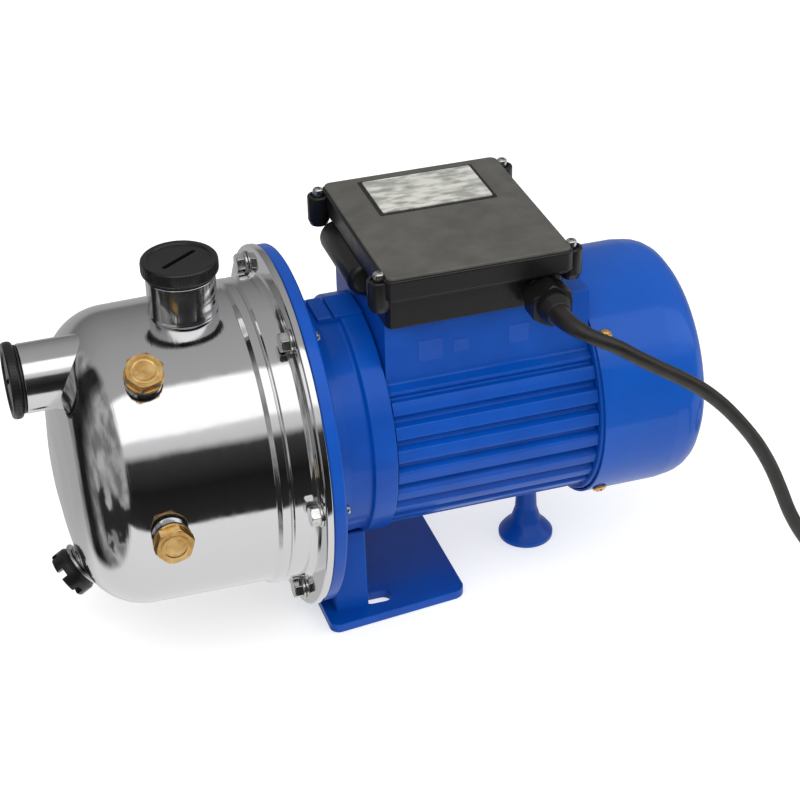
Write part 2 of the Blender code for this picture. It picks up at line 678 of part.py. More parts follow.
def rounded(corners, radius, count):
    """A closed outline with each corner of a convex polygon turned into an arc."""
    points = []
    total = len(corners)
    for i, corner in enumerate(corners):
        here = Vector(corner)
        before = (Vector(corners[i - 1]) - here).normalized()
        after = (Vector(corners[(i + 1) % total]) - here).normalized()
        half = before.angle(after) / 2
        centre = here + (before + after).normalized() * radius / math.sin(half)
        start = here + before * radius / math.tan(half) - centre
        end = here + after * radius / math.tan(half) - centre
        for step in range(count + 1):
            mixed = start.lerp(end, step / count).normalized() * radius
            points.append(tuple(centre + mixed))
    return points


def slot_points(centre_x, centre_y, length, width):
    """A slot with round ends, its long way along X."""
    reach = length / 2 - width / 2
    points = []
    for side in (1, -1):
        for i in range(7):
            angle = math.pi * i / 6 - side * math.pi / 2
            points.append((centre_x + side * reach + width / 2 * math.cos(angle),
                           centre_y + width / 2 * math.sin(angle)))
    return points


def make_foot_plate():
    """Front foot: a plate with two bolt slots and a saddle that carries the bracket."""
    corners = [(PLATE_X0, -PLATE_FRONT_HALF), (PLATE_X1, -PLATE_REAR_HALF),
               (PLATE_X1, PLATE_REAR_HALF), (PLATE_X0, PLATE_FRONT_HALF)]
    slots = [slot_points(0.0410, side * 0.0380, 0.0170, 0.0100) for side in (-1, 1)]
    plate = flat("foot_plate", ("blue", BLUE), [rounded(corners, 0.007, 4)] + slots, PLATE_T,
                 (0, 0, PLATE_T / 2), "Z")
    plate = as_mesh(plate)
    saddle = block("foot_saddle", None, (0.0190, -0.0400, PLATE_T - 0.001),
                   (0.0340, 0.0400, 0.0600), cutter=True)
    hollow = rod("saddle_hollow", None, COLLAR_R + 0.0008, (0, 0, SHAFT_Z), (1, 0, 0),
                 0.0000, 0.0600, BIG, cutter=True)
    join(plate, saddle)
    return cut(plate, hollow)


def make_rear_foot():
    """Flared round foot under the motor's rear end."""
    top = SHAFT_Z - FIN_R - 0.0004
    outline = [(0, 0), (0, 0.0165), (0.0035, 0.0165), (0.0060, 0.0145), (0.0110, 0.0095),
               (0.0180, 0.0068), (0.0300, 0.0060), (top, 0.0062), (top, 0)]
    turned("rear_foot", ("blue", BLUE), outline, (REAR_FOOT_X, 0, 0), (0, 0, 1), 24)


# ---------------------------------------------------------------- terminal box

EAR_PLACES = [(LID_X0 - 0.0015, -EAR_Y), (LID_X1 + 0.0005, -EAR_Y),
              (LID_X1 + 0.0005, EAR_Y), (LID_X0 - 0.0035, EAR_Y)]


def make_box_base():
    """Open tray on the motor pad with four screw ears and the gland hole."""
    base = block("terminal_box_base", ("black", BLACK), (BOX_X0, -BOX_HALF, BOX_Z0),
                 (BOX_X1, BOX_HALF, BOX_SPLIT_Z), 0.0020)
    flange = block("box_rim", None, (BOX_X0 - 0.002, -BOX_HALF - 0.004, BOX_SPLIT_Z - 0.0017),
                   (BOX_X1 + 0.001, BOX_HALF + 0.004, BOX_SPLIT_Z), cutter=True)
    ears = [rod(f"base_ear_{number}", None, EAR_R, (x, y, 0), (0, 0, 1),
                BOX_SPLIT_Z - 0.0070, BOX_SPLIT_Z, 16, cutter=True)
            for number, (x, y) in enumerate(EAR_PLACES, 1)]
    join(base, flange, *ears)
    inside = block("base_hollow", None, (BOX_X0 + 0.0025, -BOX_HALF + 0.0025, BOX_Z0 + 0.0025),
                   (BOX_X1 - 0.0025, BOX_HALF - 0.0025, BOX_SPLIT_Z + 0.0100), cutter=True)
    gland_hole = rod("gland_hole", None, 0.0073, (GLAND_X, 0, GLAND_Z), (0, -1, 0),
                     BOX_HALF - 0.0060, BOX_HALF + 0.0100, SMALL, cutter=True)
    holes = [rod(f"base_screw_hole_{number}", None, 0.0023, (x, y, 0), (0, 0, 1),
                 BOX_SPLIT_Z - 0.0100, BOX_SPLIT_Z + 0.0030, 10, cutter=True)
             for number, (x, y) in enumerate(EAR_PLACES, 1)]
    return cut(base, inside, gland_hole, *holes)


def make_box_lid():
    """Overhanging lid with four screw ears and a shallow recess for the plate."""
    low = BOX_SPLIT_Z + GAP
    lid = block("terminal_box_lid", ("lid", LID_BLACK), (LID_X0, -LID_HALF, low),
                (LID_X1, LID_HALF, LID_TOP_Z), 0.0015)
    ears = [rod(f"lid_ear_{number}", None, EAR_R, (x, y, 0), (0, 0, 1),
                low, LID_TOP_Z - 0.0012, 16, cutter=True)
            for number, (x, y) in enumerate(EAR_PLACES, 1)]
    join(lid, *ears)
    inside = block("lid_hollow", None, (LID_X0 + 0.0060, -LID_HALF + 0.0030, low - 0.0050),
                   (LID_X1 - 0.0060, LID_HALF - 0.0030, LID_TOP_Z - 0.0025), cutter=True)
    holes = [rod(f"lid_screw_hole_{number}", None, 0.0023, (x, y, 0), (0, 0, 1),
                 low - 0.0050, LID_TOP_Z + 0.0030, 10, cutter=True)
             for number, (x, y) in enumerate(EAR_PLACES, 1)]
    seats = [rod(f"lid_screw_seat_{number}", None, 0.0044, (x, y, 0), (0, 0, 1),
                 LID_TOP_Z - 0.0012, LID_TOP_Z + 0.0030, 14, cutter=True)
             for number, (x, y) in enumerate(EAR_PLACES, 1)]
    return cut(lid, inside, *holes, *seats)


def make_lid_screws():
    """Four pan head screws through the lid ears into the base ears."""
    seat = LID_TOP_Z - 0.0012 + GAP
    for number, (x, y) in enumerate(EAR_PLACES, 1):
        outline = [(0.2065, 0), (0.2065, 0.0019), (seat, 0.0019), (seat, 0.0036),
                   (seat + 0.0012, 0.0034), (seat + 0.0022, 0.0018), (seat + 0.0023, 0)]
        turned(f"lid_screw_{number}", ("steel", STEEL), outline, (x, y, 0), (0, 0, 1), 12)


def make_box_contents():
    """Blank data plate on the lid; run capacitor and terminal block inside."""
    block("data_plate", ("label", LABEL), (0.0660, 0.0120, LID_TOP_Z + GAP),
          (0.1300, 0.0520, LID_TOP_Z + GAP + 0.0007))
    rod("run_capacitor", ("can", CAN_WHITE), 0.0143, (0, 0.0250, 0.2084), (1, 0, 0),
        0.0560, 0.1260, 24)
    block("terminal_block", ("black", BLACK), (0.0600, -0.0320, BOX_Z0 + 0.0028),
          (0.1100, -0.0120, BOX_Z0 + 0.0160), 0.0010)


def make_cable_gland():
    """Gland body through the box wall, and its cap nut with a short tapered nose."""
    face = BOX_HALF + GAP
    body = [(face - 0.0060, 0.0069), (face, 0.0069), (face, 0.0107), (face + 0.0045, 0.0107),
            (face + 0.0045, 0.0086), (face + 0.0120, 0.0086), (face + 0.0120, 0.0046),
            (face - 0.0060, 0.0046)]
    place = (GLAND_X, 0, GLAND_Z)
    turned("cable_gland", ("black", BLACK), body, place, (0, -1, 0), SMALL)
    start = face + 0.0048
    nut = rod("gland_nut", ("black", BLACK), 0.0220 / math.sqrt(3), place, (0, -1, 0),
              start, start + 0.0150, 6)
    nut.data.transform(Matrix.Rotation(math.pi / 6, 4, "Z"))
    nose = turned("gland_nose", None, [(start + 0.0140, 0), (start + 0.0140, 0.0088),
                                       (start + 0.0230, 0.0064), (start + 0.0230, 0)],
                  place, (0, -1, 0), SMALL, cutter=True)
    thread = rod("gland_thread", None, 0.0090, place, (0, -1, 0),
                 start - 0.0020, start + 0.0085, SMALL, cutter=True)
    bore = rod("gland_bore", None, CORD_R + 0.0004, place, (0, -1, 0),
               start - 0.0020, start + 0.0300, 16, cutter=True)
    join(nut, nose)
    return cut(nut, thread, bore)


# ---------------------------------------------------------------- mains cord

# Where the cord runs, chosen by hand: out of the gland, round and down to the ground,
# and along it to the coil.
CORD_ROUTE = [
    (0.1335, -0.0730, 0.1990), (0.1335, -0.0810, 0.1990), (0.1345, -0.0887, 0.1987),
    (0.1380, -0.0962, 0.1975), (0.1450, -0.1024, 0.1943), (0.1560, -0.1058, 0.1888),
    (0.1680, -0.1068, 0.1802), (0.1810, -0.1064, 0.1710), (0.1950, -0.1058, 0.1612),
    (0.2080, -0.1052, 0.1510), (0.2210, -0.1048, 0.1382), (0.2330, -0.1045, 0.1236),
    (0.2440, -0.1042, 0.1080), (0.2535, -0.1040, 0.0910), (0.2615, -0.1038, 0.0730),
    (0.2685, -0.1036, 0.0545), (0.2765, -0.1033, 0.0362), (0.2870, -0.1030, 0.0205),
    (0.3010, -0.1026, 0.0095), (0.3180, -0.1022, 0.0048), (0.3340, -0.1018, 0.0042),
    (0.3500, -0.1015, 0.0042)]


def smooth_route(route, pieces):
    """Points on a Catmull-Rom curve through the route's own points."""
    ends = [Vector(route[0]) * 2 - Vector(route[1])]
    ends += [Vector(p) for p in route]
    ends += [Vector(route[-1]) * 2 - Vector(route[-2])]
    points = []
    for a, b, c, d in zip(ends, ends[1:], ends[2:], ends[3:]):
        for i in range(pieces):
            t = i / pieces
            points.append(0.5 * ((2 * b) + (c - a) * t + (2 * a - 5 * b + 4 * c - d) * t * t
                                 + (3 * b - a - 3 * c + d) * t ** 3))
    points.append(ends[-2])
    return points


def make_cord():
    """The cord's free stretch as a round tube, and its coil as one turned ring."""
    data = bpy.data.curves.new("power_cord", "CURVE")
    data.dimensions = "3D"
    data.bevel_depth = CORD_R
    data.bevel_resolution = 2
    data.use_fill_caps = True
    points = smooth_route(CORD_ROUTE, 2)
    spline = data.splines.new("POLY")
    spline.points.add(len(points) - 1)
    for point, place in zip(spline.points, points):
        point.co = (*place, 1)
    add_object("power_cord", data, ("rubber", RUBBER))
    low, high, edge = COIL_INNER_R, COIL_OUTER_R, 0.0020
    outline = [(0.0002, low + edge), (0.0002, high - edge), (edge, high),
               (COIL_TOP_Z - edge, high), (COIL_TOP_Z, high - edge), (COIL_TOP_Z, low + edge),
               (COIL_TOP_Z - edge, low), (edge, low)]
    turned("cord_coil", ("rubber", RUBBER), outline, (*COIL_CENTRE, 0), (0, 0, 1), BIG)


def make_mains_plug():
    """Moulded two pin plug lying beside the coil, its sleeve towards the cord."""
    place = (COIL_CENTRE[0] + PLUG_OFFSET[0], COIL_CENTRE[1] + PLUG_OFFSET[1], PLUG_Z)
    outline = [(0, 0), (0, 0.0052), (0.0220, 0.0072), (0.0250, 0.0130), (0.0330, 0.0182),
               (0.0600, 0.0182), (0.0600, 0)]
    plug = turned("mains_plug", ("black", BLACK), outline, place, (0, 1, 0), 24)
    for number, side in enumerate((-1, 1), 1):
        pin = rod(f"plug_pin_{number}", None, 0.0024,
                  (place[0] + side * 0.0095, place[1], place[2]), (0, 1, 0),
                  0.0580, 0.0790, 10, cutter=True)
        join(plug, pin)
    return plug


make_pump_casing()
make_port_plug("discharge", (DISCHARGE_X, 0, DISCHARGE_TOP_Z), (0, 0, 1), DISCHARGE_CAP_T)
make_port_plug("suction", (SUCTION_END_X, 0, SUCTION_Z), (-1, 0, 0), SUCTION_CAP_T)
make_brass_plugs()
make_drain_plug()
make_ejector()
make_diffuser()
make_impeller()
make_shaft_seal()
make_flange_bolts()
make_motor_bracket()
make_bearing("front", 0.0183)
make_bearing("rear", 0.1604)
make_motor_housing()
make_stator()
make_rotor()
make_end_shield()
make_cooling_fan()
make_fan_cover()
make_cover_screws()
make_foot_plate()
make_rear_foot()
make_box_base()
make_box_lid()
make_lid_screws()
make_box_contents()
make_cable_gland()
make_cord()
make_mains_plug()
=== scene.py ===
"""Looks of the shallow well jet pump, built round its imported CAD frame.

Lengths are in metres. Most outlines are (along, radius) points: along runs from the joint
between pump and motor bracket towards the fan, radius from the shaft line.
"""
import json
import math

import bmesh
import bpy
from mathutils import Matrix, Vector


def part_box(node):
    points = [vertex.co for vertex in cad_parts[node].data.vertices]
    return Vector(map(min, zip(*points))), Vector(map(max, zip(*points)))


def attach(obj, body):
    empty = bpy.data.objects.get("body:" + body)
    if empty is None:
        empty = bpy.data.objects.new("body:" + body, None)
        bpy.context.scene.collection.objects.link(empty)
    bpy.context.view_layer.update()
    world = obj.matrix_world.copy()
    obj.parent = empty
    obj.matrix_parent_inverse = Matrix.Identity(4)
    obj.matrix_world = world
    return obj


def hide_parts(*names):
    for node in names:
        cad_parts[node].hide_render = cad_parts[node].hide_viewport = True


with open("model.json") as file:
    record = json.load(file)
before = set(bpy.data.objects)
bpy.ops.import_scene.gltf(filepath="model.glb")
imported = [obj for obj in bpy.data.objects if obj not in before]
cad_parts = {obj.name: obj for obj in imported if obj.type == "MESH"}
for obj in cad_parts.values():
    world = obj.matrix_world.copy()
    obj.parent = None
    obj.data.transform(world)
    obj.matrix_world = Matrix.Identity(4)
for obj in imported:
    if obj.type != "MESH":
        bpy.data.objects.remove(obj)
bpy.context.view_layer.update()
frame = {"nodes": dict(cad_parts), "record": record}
NODES = frame["nodes"]
JOINT_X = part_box("motor_bracket")[0].x
SHAFT_Z = sum(corner.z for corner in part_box("rotor_shaft")) / 2
SHAFT = Vector((JOINT_X, 0, SHAFT_Z))
FULL_TURN = 2 * math.pi


# ---------------------------------------------------------------- camera

def make_camera():
    """The camera, turned by its own axes: right, up and back."""
    data = bpy.data.cameras.new("camera")
    data.lens = 94.56
    data.sensor_width = 36
    data.clip_end = 50
    camera = bpy.data.objects.new("camera", data)
    bpy.context.scene.collection.objects.link(camera)
    right = Vector((0.95030, -0.31083, -0.01798)).normalized()
    back = Vector((-0.25459, -0.80902, 0.52977)).normalized()
    up = back.cross(right).normalized()
    right = up.cross(back)
    turn = Matrix((right, up, back)).transposed().to_4x4()
    camera.matrix_world = Matrix.Translation((JOINT_X - 0.2368, -0.9736, 0.7496)) @ turn
    bpy.context.scene.camera = camera
    bpy.context.scene.view_settings.view_transform = "Standard"


make_camera()


# ---------------------------------------------------------------- materials

class Material:
    """A Principled material with helpers that add procedural detail."""

    def __init__(self, name, colour, rough, metal=0.0, coat=0.0, coat_rough=0.05, ior=1.5):
        self.data = bpy.data.materials.new(name)
        self.data.use_nodes = True
        self.tree = self.data.node_tree
        self.shader = self.tree.nodes["Principled BSDF"]
        self.set("Base Color", (*colour, 1))
        self.set("Roughness", rough)
        self.set("Metallic", metal)
        self.set("Coat Weight", coat)
        self.set("Coat Roughness", coat_rough)
        self.set("IOR", ior)
        self.place = self.node("ShaderNodeTexCoord").outputs["Object"]

    def set(self, socket, value):
        """Set one value on the shader."""
        self.shader.inputs[socket].default_value = value

    def node(self, kind, **values):
        """A new node with its properties and plain inputs set."""
        made = self.tree.nodes.new(kind)
        for name, value in values.items():
            if hasattr(made, name):
                setattr(made, name, value)
            else:
                made.inputs[name.replace("_", " ")].default_value = value
        return made

    def link(self, source, target):
        """Join an output to an input."""
        self.tree.links.new(source, target)

    def noise(self, scale, detail=3.0, stretch=(1, 1, 1)):
        """Noise in the piece's own space, stretched if asked."""
        mapping = self.node("ShaderNodeMapping")
        mapping.inputs["Scale"].default_value = stretch
        self.link(self.place, mapping.inputs["Vector"])
        made = self.node("ShaderNodeTexNoise", Scale=scale, Detail=detail)
        self.link(mapping.outputs["Vector"], made.inputs["Vector"])
        return made.outputs["Fac"]

    def spread(self, source, low, high, start=0.3, end=0.7):
        """Map a 0 to 1 pattern onto a range of numbers."""
        made = self.node("ShaderNodeMapRange")
        made.inputs["From Min"].default_value = start
        made.inputs["From Max"].default_value = end
        made.inputs["To Min"].default_value = low
        made.inputs["To Max"].default_value = high
        self.link(source, made.inputs["Value"])
        return made.outputs["Result"]

    def rough_between(self, low, high, scale, stretch=(1, 1, 1)):
        """Roughness that wanders between two values."""
        pattern = self.spread(self.noise(scale, 4.0, stretch), low, high)
        self.link(pattern, self.shader.inputs["Roughness"])
        return self

    def tint(self, first, second, scale, stretch=(1, 1, 1), start=0.35, end=0.65):
        """Colour that wanders between two values."""
        mix = self.node("ShaderNodeMix", data_type="RGBA")
        for name, value in (("A", first), ("B", second)):
            for socket in mix.inputs:
                if socket.name == name and socket.type == "RGBA":
                    socket.default_value = (*value, 1)
        pattern = self.spread(self.noise(scale, 5.0, stretch), 0, 1, start, end)
        self.link(pattern, mix.inputs["Factor"])
        result = [socket for socket in mix.outputs if socket.type == "RGBA"][0]
        self.link(result, self.shader.inputs["Base Color"])
        return self

    def bump(self, *layers):
        """Surface relief from (scale, height in metres, stretch) noise layers."""
        previous = None
        for scale, height, stretch in layers:
            made = self.node("ShaderNodeBump", Strength=1.0, Distance=height)
            self.link(self.noise(scale, 3.0, stretch), made.inputs["Height"])
            if previous is not None:
                self.link(previous, made.inputs["Normal"])
            previous = made.outputs["Normal"]
        self.link(previous, self.shader.inputs["Normal"])
        if self.shader.inputs["Coat Weight"].default_value > 0:
            self.link(previous, self.shader.inputs["Coat Normal"])
        return self


EVEN = (1, 1, 1)
ROUND_SHAFT = (14, 1, 1)


def make_materials():
    """Every material of the pump, by name."""
    made = {}
    made["stainless"] = Material("polished_stainless", (0.66, 0.66, 0.67), 0.08, 1.0)
    made["stainless"].rough_between(0.045, 0.115, 14, ROUND_SHAFT)
    made["stainless"].bump((16, 0.0005, EVEN), (70, 0.00003, ROUND_SHAFT))
    made["stub"] = Material("drawn_tube_stainless", (0.66, 0.66, 0.67), 0.12, 1.0)
    made["stub"].rough_between(0.07, 0.17, 60, EVEN).bump((60, 0.00008, EVEN))
    made["steel"] = Material("bright_zinc", (0.70, 0.70, 0.69), 0.2, 1.0)
    made["steel"].tint((0.74, 0.74, 0.73), (0.52, 0.52, 0.50), 220)
    made["steel"].rough_between(0.14, 0.30, 180).bump((400, 0.00003, EVEN))
    made["brass"] = Material("turned_brass", (0.80, 0.53, 0.20), 0.3, 1.0)
    made["brass"].tint((0.83, 0.56, 0.23), (0.60, 0.34, 0.11), 150)
    made["brass"].rough_between(0.24, 0.42, 240).bump((350, 0.00006, EVEN))
    made["blue"] = Material("blue_enamel", (0.0, 0.056, 0.33), 0.40, 0.0, 0.2, 0.08)
    made["blue"].set("Specular IOR Level", 0.18)
    made["blue"].tint((0.0, 0.062, 0.355), (0.0, 0.050, 0.300), 30)
    made["blue"].bump((300, 0.00002, EVEN), (45, 0.00008, EVEN))
    made["cover"] = Material("blue_enamel_pressed", (0.0, 0.085, 0.45), 0.38, 0.0, 0.32, 0.05)
    made["cover"].set("Specular IOR Level", 0.18)
    made["cover"].tint((0.0, 0.072, 0.385), (0.0, 0.060, 0.34), 22)
    made["cover"].bump((260, 0.000015, EVEN), (26, 0.0001, EVEN))
    made["black"] = Material("black_moulding", (0.006, 0.006, 0.006), 0.30, ior=1.45)
    made["black"].rough_between(0.22, 0.38, 90).bump((900, 0.00002, EVEN))
    made["lid"] = Material("grey_moulding", (0.075, 0.073, 0.064), 0.45, ior=1.48)
    made["lid"].tint((0.080, 0.078, 0.068), (0.062, 0.060, 0.053), 60)
    made["lid"].rough_between(0.38, 0.52, 120).bump((1500, 0.000025, EVEN))
    made["rubber"] = Material("cord_rubber", (0.016, 0.015, 0.013), 0.42)
    made["rubber"].tint((0.012, 0.011, 0.009), (0.007, 0.006, 0.005), 90)
    made["rubber"].rough_between(0.34, 0.50, 140).bump((800, 0.00002, EVEN))
    made["label"] = Material("printed_foil", (0.55, 0.55, 0.50), 0.45, 0.35)
    made["label"].tint((0.66, 0.66, 0.61), (0.33, 0.33, 0.30), 170, (0.5, 1.4, 1), 0.42, 0.62)
    made["label"].rough_between(0.35, 0.6, 200).bump((500, 0.00002, EVEN))
    made["resin"] = Material("filled_resin", (0.05, 0.06, 0.08), 0.5)
    made["resin"].tint((0.055, 0.065, 0.085), (0.04, 0.05, 0.07), 120).bump((900, 0.00002, EVEN))
    made["carbon"] = Material("carbon", (0.05, 0.05, 0.05), 0.55)
    made["carbon"].tint((0.06, 0.06, 0.06), (0.03, 0.03, 0.03), 300).bump((900, 0.00002, EVEN))
    made["ceramic"] = Material("ceramic", (0.85, 0.83, 0.78), 0.3)
    made["ceramic"].tint((0.86, 0.84, 0.79), (0.78, 0.76, 0.70), 200).bump((900, 0.00001, EVEN))
    made["copper"] = Material("wound_copper", (0.70, 0.33, 0.16), 0.35, 1.0)
    made["copper"].tint((0.75, 0.36, 0.18), (0.52, 0.22, 0.10), 240).bump((500, 0.0001, ROUND_SHAFT))
    made["can"] = Material("capacitor_can", (0.80, 0.80, 0.78), 0.4)
    made["can"].tint((0.82, 0.82, 0.80), (0.74, 0.74, 0.71), 80).bump((700, 0.00001, EVEN))
    return made


MATERIALS = make_materials()
SLOT_MATERIAL = {"stainless": "stainless", "steel": "steel", "brass": "brass", "copper": "copper",
                 "blue_paint": "blue", "black_plastic": "black", "lid_plastic": "lid",
                 "rubber": "rubber", "resin": "resin", "carbon": "carbon", "ceramic": "ceramic",
                 "can": "can", "label": "label"}
MATERIAL_SLOT = {value: key for key, value in SLOT_MATERIAL.items()}
MATERIAL_SLOT.update({"stub": "stainless", "cover": "blue_paint"})


# ---------------------------------------------------------------- mesh helpers

def add_piece(name, data, look, body="pump", nodes=()):
    """A new visible piece: linked, painted, riding on its body and standing for its nodes."""
    obj = bpy.data.objects.new(name, data)
    bpy.context.scene.collection.objects.link(obj)
    data.materials.append(MATERIALS[look].data)
    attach(obj, body)
    if nodes:
        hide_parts(*nodes)
    return obj


def fillet(points, steps=4):
    """Round the corners of an outline; a point's third value is its corner radius."""
    rounded = []
    last = len(points) - 1
    for i, point in enumerate(points):
        here = Vector(point[:2])
        radius = point[2] if len(point) > 2 else 0
        if not radius or i in (0, last):
            rounded.append(tuple(here))
            continue
        before = Vector(points[i - 1][:2]) - here
        after = Vector(points[i + 1][:2]) - here
        half = before.angle(after) / 2
        reach = min(radius / math.tan(half), 0.48 * before.length, 0.48 * after.length)
        radius = reach * math.tan(half)
        start, end = here + before.normalized() * reach, here + after.normalized() * reach
        centre = here + (before.normalized() + after.normalized()).normalized() * (
            radius / math.sin(half))
        for step in range(steps + 1):
            spoke = (start - centre).lerp(end - centre, step / steps).normalized() * radius
            rounded.append(tuple(centre + spoke))
    return rounded


def facing(place, direction):
    """Matrix that puts local Z along a direction at a place."""
    turn = Vector(direction).to_track_quat("Z", "Y").to_matrix().to_4x4()
    return Matrix.Translation(place) @ turn


def lathe_mesh(name, outline, place, direction, segments, sharp=38):
    """Mesh of an outline of (along, radius) points spun round an axis."""
    points = list(outline)
    area = sum(r0 * z1 - r1 * z0 for (z0, r0), (z1, r1) in zip(points, points[1:] + points[:1]))
    if area > 0:
        points.reverse()
    closed = points[0][1] > 1e-9 or points[-1][1] > 1e-9
    verts, rows = [], []
    for along, radius in points:
        if radius < 1e-9:
            rows.append([len(verts)])
            verts.append((0, 0, along))
            continue
        rows.append(list(range(len(verts), len(verts) + segments)))
        for i in range(segments):
            angle = FULL_TURN * i / segments
            verts.append((radius * math.cos(angle), radius * math.sin(angle), along))
    faces = []
    pairs = list(zip(rows, rows[1:] + rows[:1])) if closed else list(zip(rows, rows[1:]))
    for low, high in pairs:
        for i in range(segments):
            j = (i + 1) % segments
            corners = [low[i % len(low)], low[j % len(low)], high[j % len(high)], high[i % len(high)]]
            unique = list(dict.fromkeys(corners))
            if len(unique) > 2:
                faces.append(unique)
    mesh = bpy.data.meshes.new(name)
    mesh.from_pydata(verts, [], faces)
    shape = bmesh.new()
    shape.from_mesh(mesh)
    bmesh.ops.recalc_face_normals(shape, faces=shape.faces)
    shape.to_mesh(mesh)
    shape.free()
    mesh.transform(facing(place, direction))
    mesh.shade_smooth()
    mesh.set_sharp_from_angle(angle=math.radians(sharp))
    return mesh


def lathe(name, look, outline, place=SHAFT, direction=(1, 0, 0), segments=128,
          body="pump", nodes=(), sharp=38):
    """A turned piece; corners with a third value are rounded first."""
    mesh = lathe_mesh(name, fillet(outline), place, direction, segments, sharp)
    return add_piece(name, mesh, look, body, nodes)


def soft_edges(obj, width, segments=3, angle=32):
    """Round a piece's hard edges, with flat faces kept flat in shading."""
    rounding = obj.modifiers.new("edges", "BEVEL")
    rounding.width = width
    rounding.segments = segments
    rounding.limit_method = "ANGLE"
    rounding.angle_limit = math.radians(angle)
    rounding.harden_normals = True
    for polygon in obj.data.polygons:
        polygon.use_smooth = True
    return obj


def prism_mesh(name, outline, start, end, matrix):
    """Mesh of a closed 2D outline pushed along its own Z from start to end."""
    count = len(outline)
    verts = [(u, v, start) for u, v in outline] + [(u, v, end) for u, v in outline]
    faces = [list(range(count))[::-1], list(range(count, 2 * count))]
    for i in range(count):
        j = (i + 1) % count
        faces.append([i, j, count + j, count + i])
    mesh = bpy.data.meshes.new(name)
    mesh.from_pydata(verts, [], faces)
    mesh.transform(matrix)
    shape = bmesh.new()
    shape.from_mesh(mesh)
    bmesh.ops.recalc_face_normals(shape, faces=shape.faces)
    shape.to_mesh(mesh)
    shape.free()
    return mesh


def prism(name, look, outline, start, end, matrix, edge=0.0, body="pump", nodes=()):
    """A pushed outline with rounded edges."""
    mesh = prism_mesh(name, outline, start, end, matrix)
    obj = add_piece(name, mesh, look, body, nodes)
    return soft_edges(obj, edge) if edge else obj


def block(name, look, low, high, edge=0.001, body="pump", nodes=()):
    """A box between two corners, with rounded edges."""
    outline = [(low[0], low[1]), (high[0], low[1]), (high[0], high[1]), (low[0], high[1])]
    return prism(name, look, outline, low[2], high[2], Matrix(), edge, body, nodes)


def across(place):
    """Matrix whose own X, Y, Z are the pump's Y, Z and X at a place."""
    turn = Matrix(((0, 0, 1), (1, 0, 0), (0, 1, 0))).to_4x4()
    return Matrix.Translation(place) @ turn


def round_corners(corners, steps=6):
    """Closed outline whose corners, (u, v, radius), are rounded."""
    count = len(corners)
    points = []
    for i, corner in enumerate(corners):
        trio = [corners[i - 1][:2], corner, corners[(i + 1) % count][:2]]
        points += fillet(trio, steps)[1:-1]
    return points


def rounded_box(low, high, radius, steps):
    """Outline of a rectangle with equal corner radii, between two corners."""
    return round_corners([(low[0], low[1], radius), (high[0], low[1], radius),
                          (high[0], high[1], radius), (low[0], high[1], radius)], steps)


def slab(name, look, low, high, radius, edge, steps=6, nodes=()):
    """A box between two corners whose upright edges are rounded to a radius."""
    return prism(name, look, rounded_box(low, high, radius, steps), low[2], high[2], Matrix(),
                 edge, nodes=nodes)


def cross_slots(screw, name, length, low, high, matrix, turns):
    """Cut a cross recess into a screw head."""
    reach, half = length / 2, 0.0005
    bar = [(-reach, -half), (reach, -half), (reach, half), (-reach, half)]
    for turn in turns:
        cut(screw, f"{name}_{round(turn)}",
            prism_mesh("cross", bar, low, high, matrix @ Matrix.Rotation(turn, 4, "Z")))


def cut(target, name, mesh):
    """Cut a hidden tool out of a piece."""
    tool = bpy.data.objects.new(name, mesh)
    bpy.context.scene.collection.objects.link(tool)
    tool.hide_render = True
    tool.hide_viewport = True
    step = target.modifiers.new(name, "BOOLEAN")
    step.operation = "DIFFERENCE"
    step.object = tool
    step.solver = "EXACT"
    return target


def radial(angle):
    """Unit vector square to the shaft, at an angle above the near side."""
    return Vector((0, -math.cos(angle), math.sin(angle)))


def around(count, start=0.0):
    """Evenly spaced angles round the shaft."""
    return [start + FULL_TURN * i / count for i in range(count)]


def arc(centre_x, centre_r, radius, start, end, count):
    """(along, radius) points of an arc, in degrees from +X towards +radius."""
    angles = [math.radians(start + (end - start) * i / count) for i in range(count + 1)]
    return [(centre_x + radius * math.cos(a), centre_r + radius * math.sin(a)) for a in angles]


# ---------------------------------------------------------------- cord

CORD_R = 0.004
GLAND_X, GLAND_Z = JOINT_X + 0.1335, 0.1990
COIL = Vector((JOINT_X + 0.382, -0.0495, 0))
TURN_RADII = (0.052, 0.044, 0.036, 0.044, 0.052)
LOW_LAYER, HIGH_LAYER = 0.0042, 0.0123
COIL_STEPS = 40
FREE_ROUTE = [
    (0.1335, -0.0730, 0.1990), (0.1335, -0.0810, 0.1990), (0.1345, -0.0887, 0.1987),
    (0.1380, -0.0962, 0.1975), (0.1450, -0.1024, 0.1943), (0.1560, -0.1058, 0.1888),
    (0.1680, -0.1068, 0.1802), (0.1810, -0.1064, 0.1710), (0.1950, -0.1058, 0.1612),
    (0.2080, -0.1052, 0.1510), (0.2210, -0.1048, 0.1382), (0.2330, -0.1045, 0.1236),
    (0.2440, -0.1042, 0.1080), (0.2535, -0.1040, 0.0910), (0.2615, -0.1038, 0.0730),
    (0.2688, -0.1036, 0.0555), (0.2785, -0.1033, 0.0375), (0.2900, -0.1030, 0.0215),
    (0.3040, -0.1026, 0.0100), (0.3190, -0.1022, 0.0049), (0.3345, -0.1018, 0.0042),
    (0.3500, -0.1015, 0.0042)]


def ease(value):
    """Smooth step from 0 to 1."""
    value = min(max(value, 0), 1)
    return value * value * (3 - 2 * value)


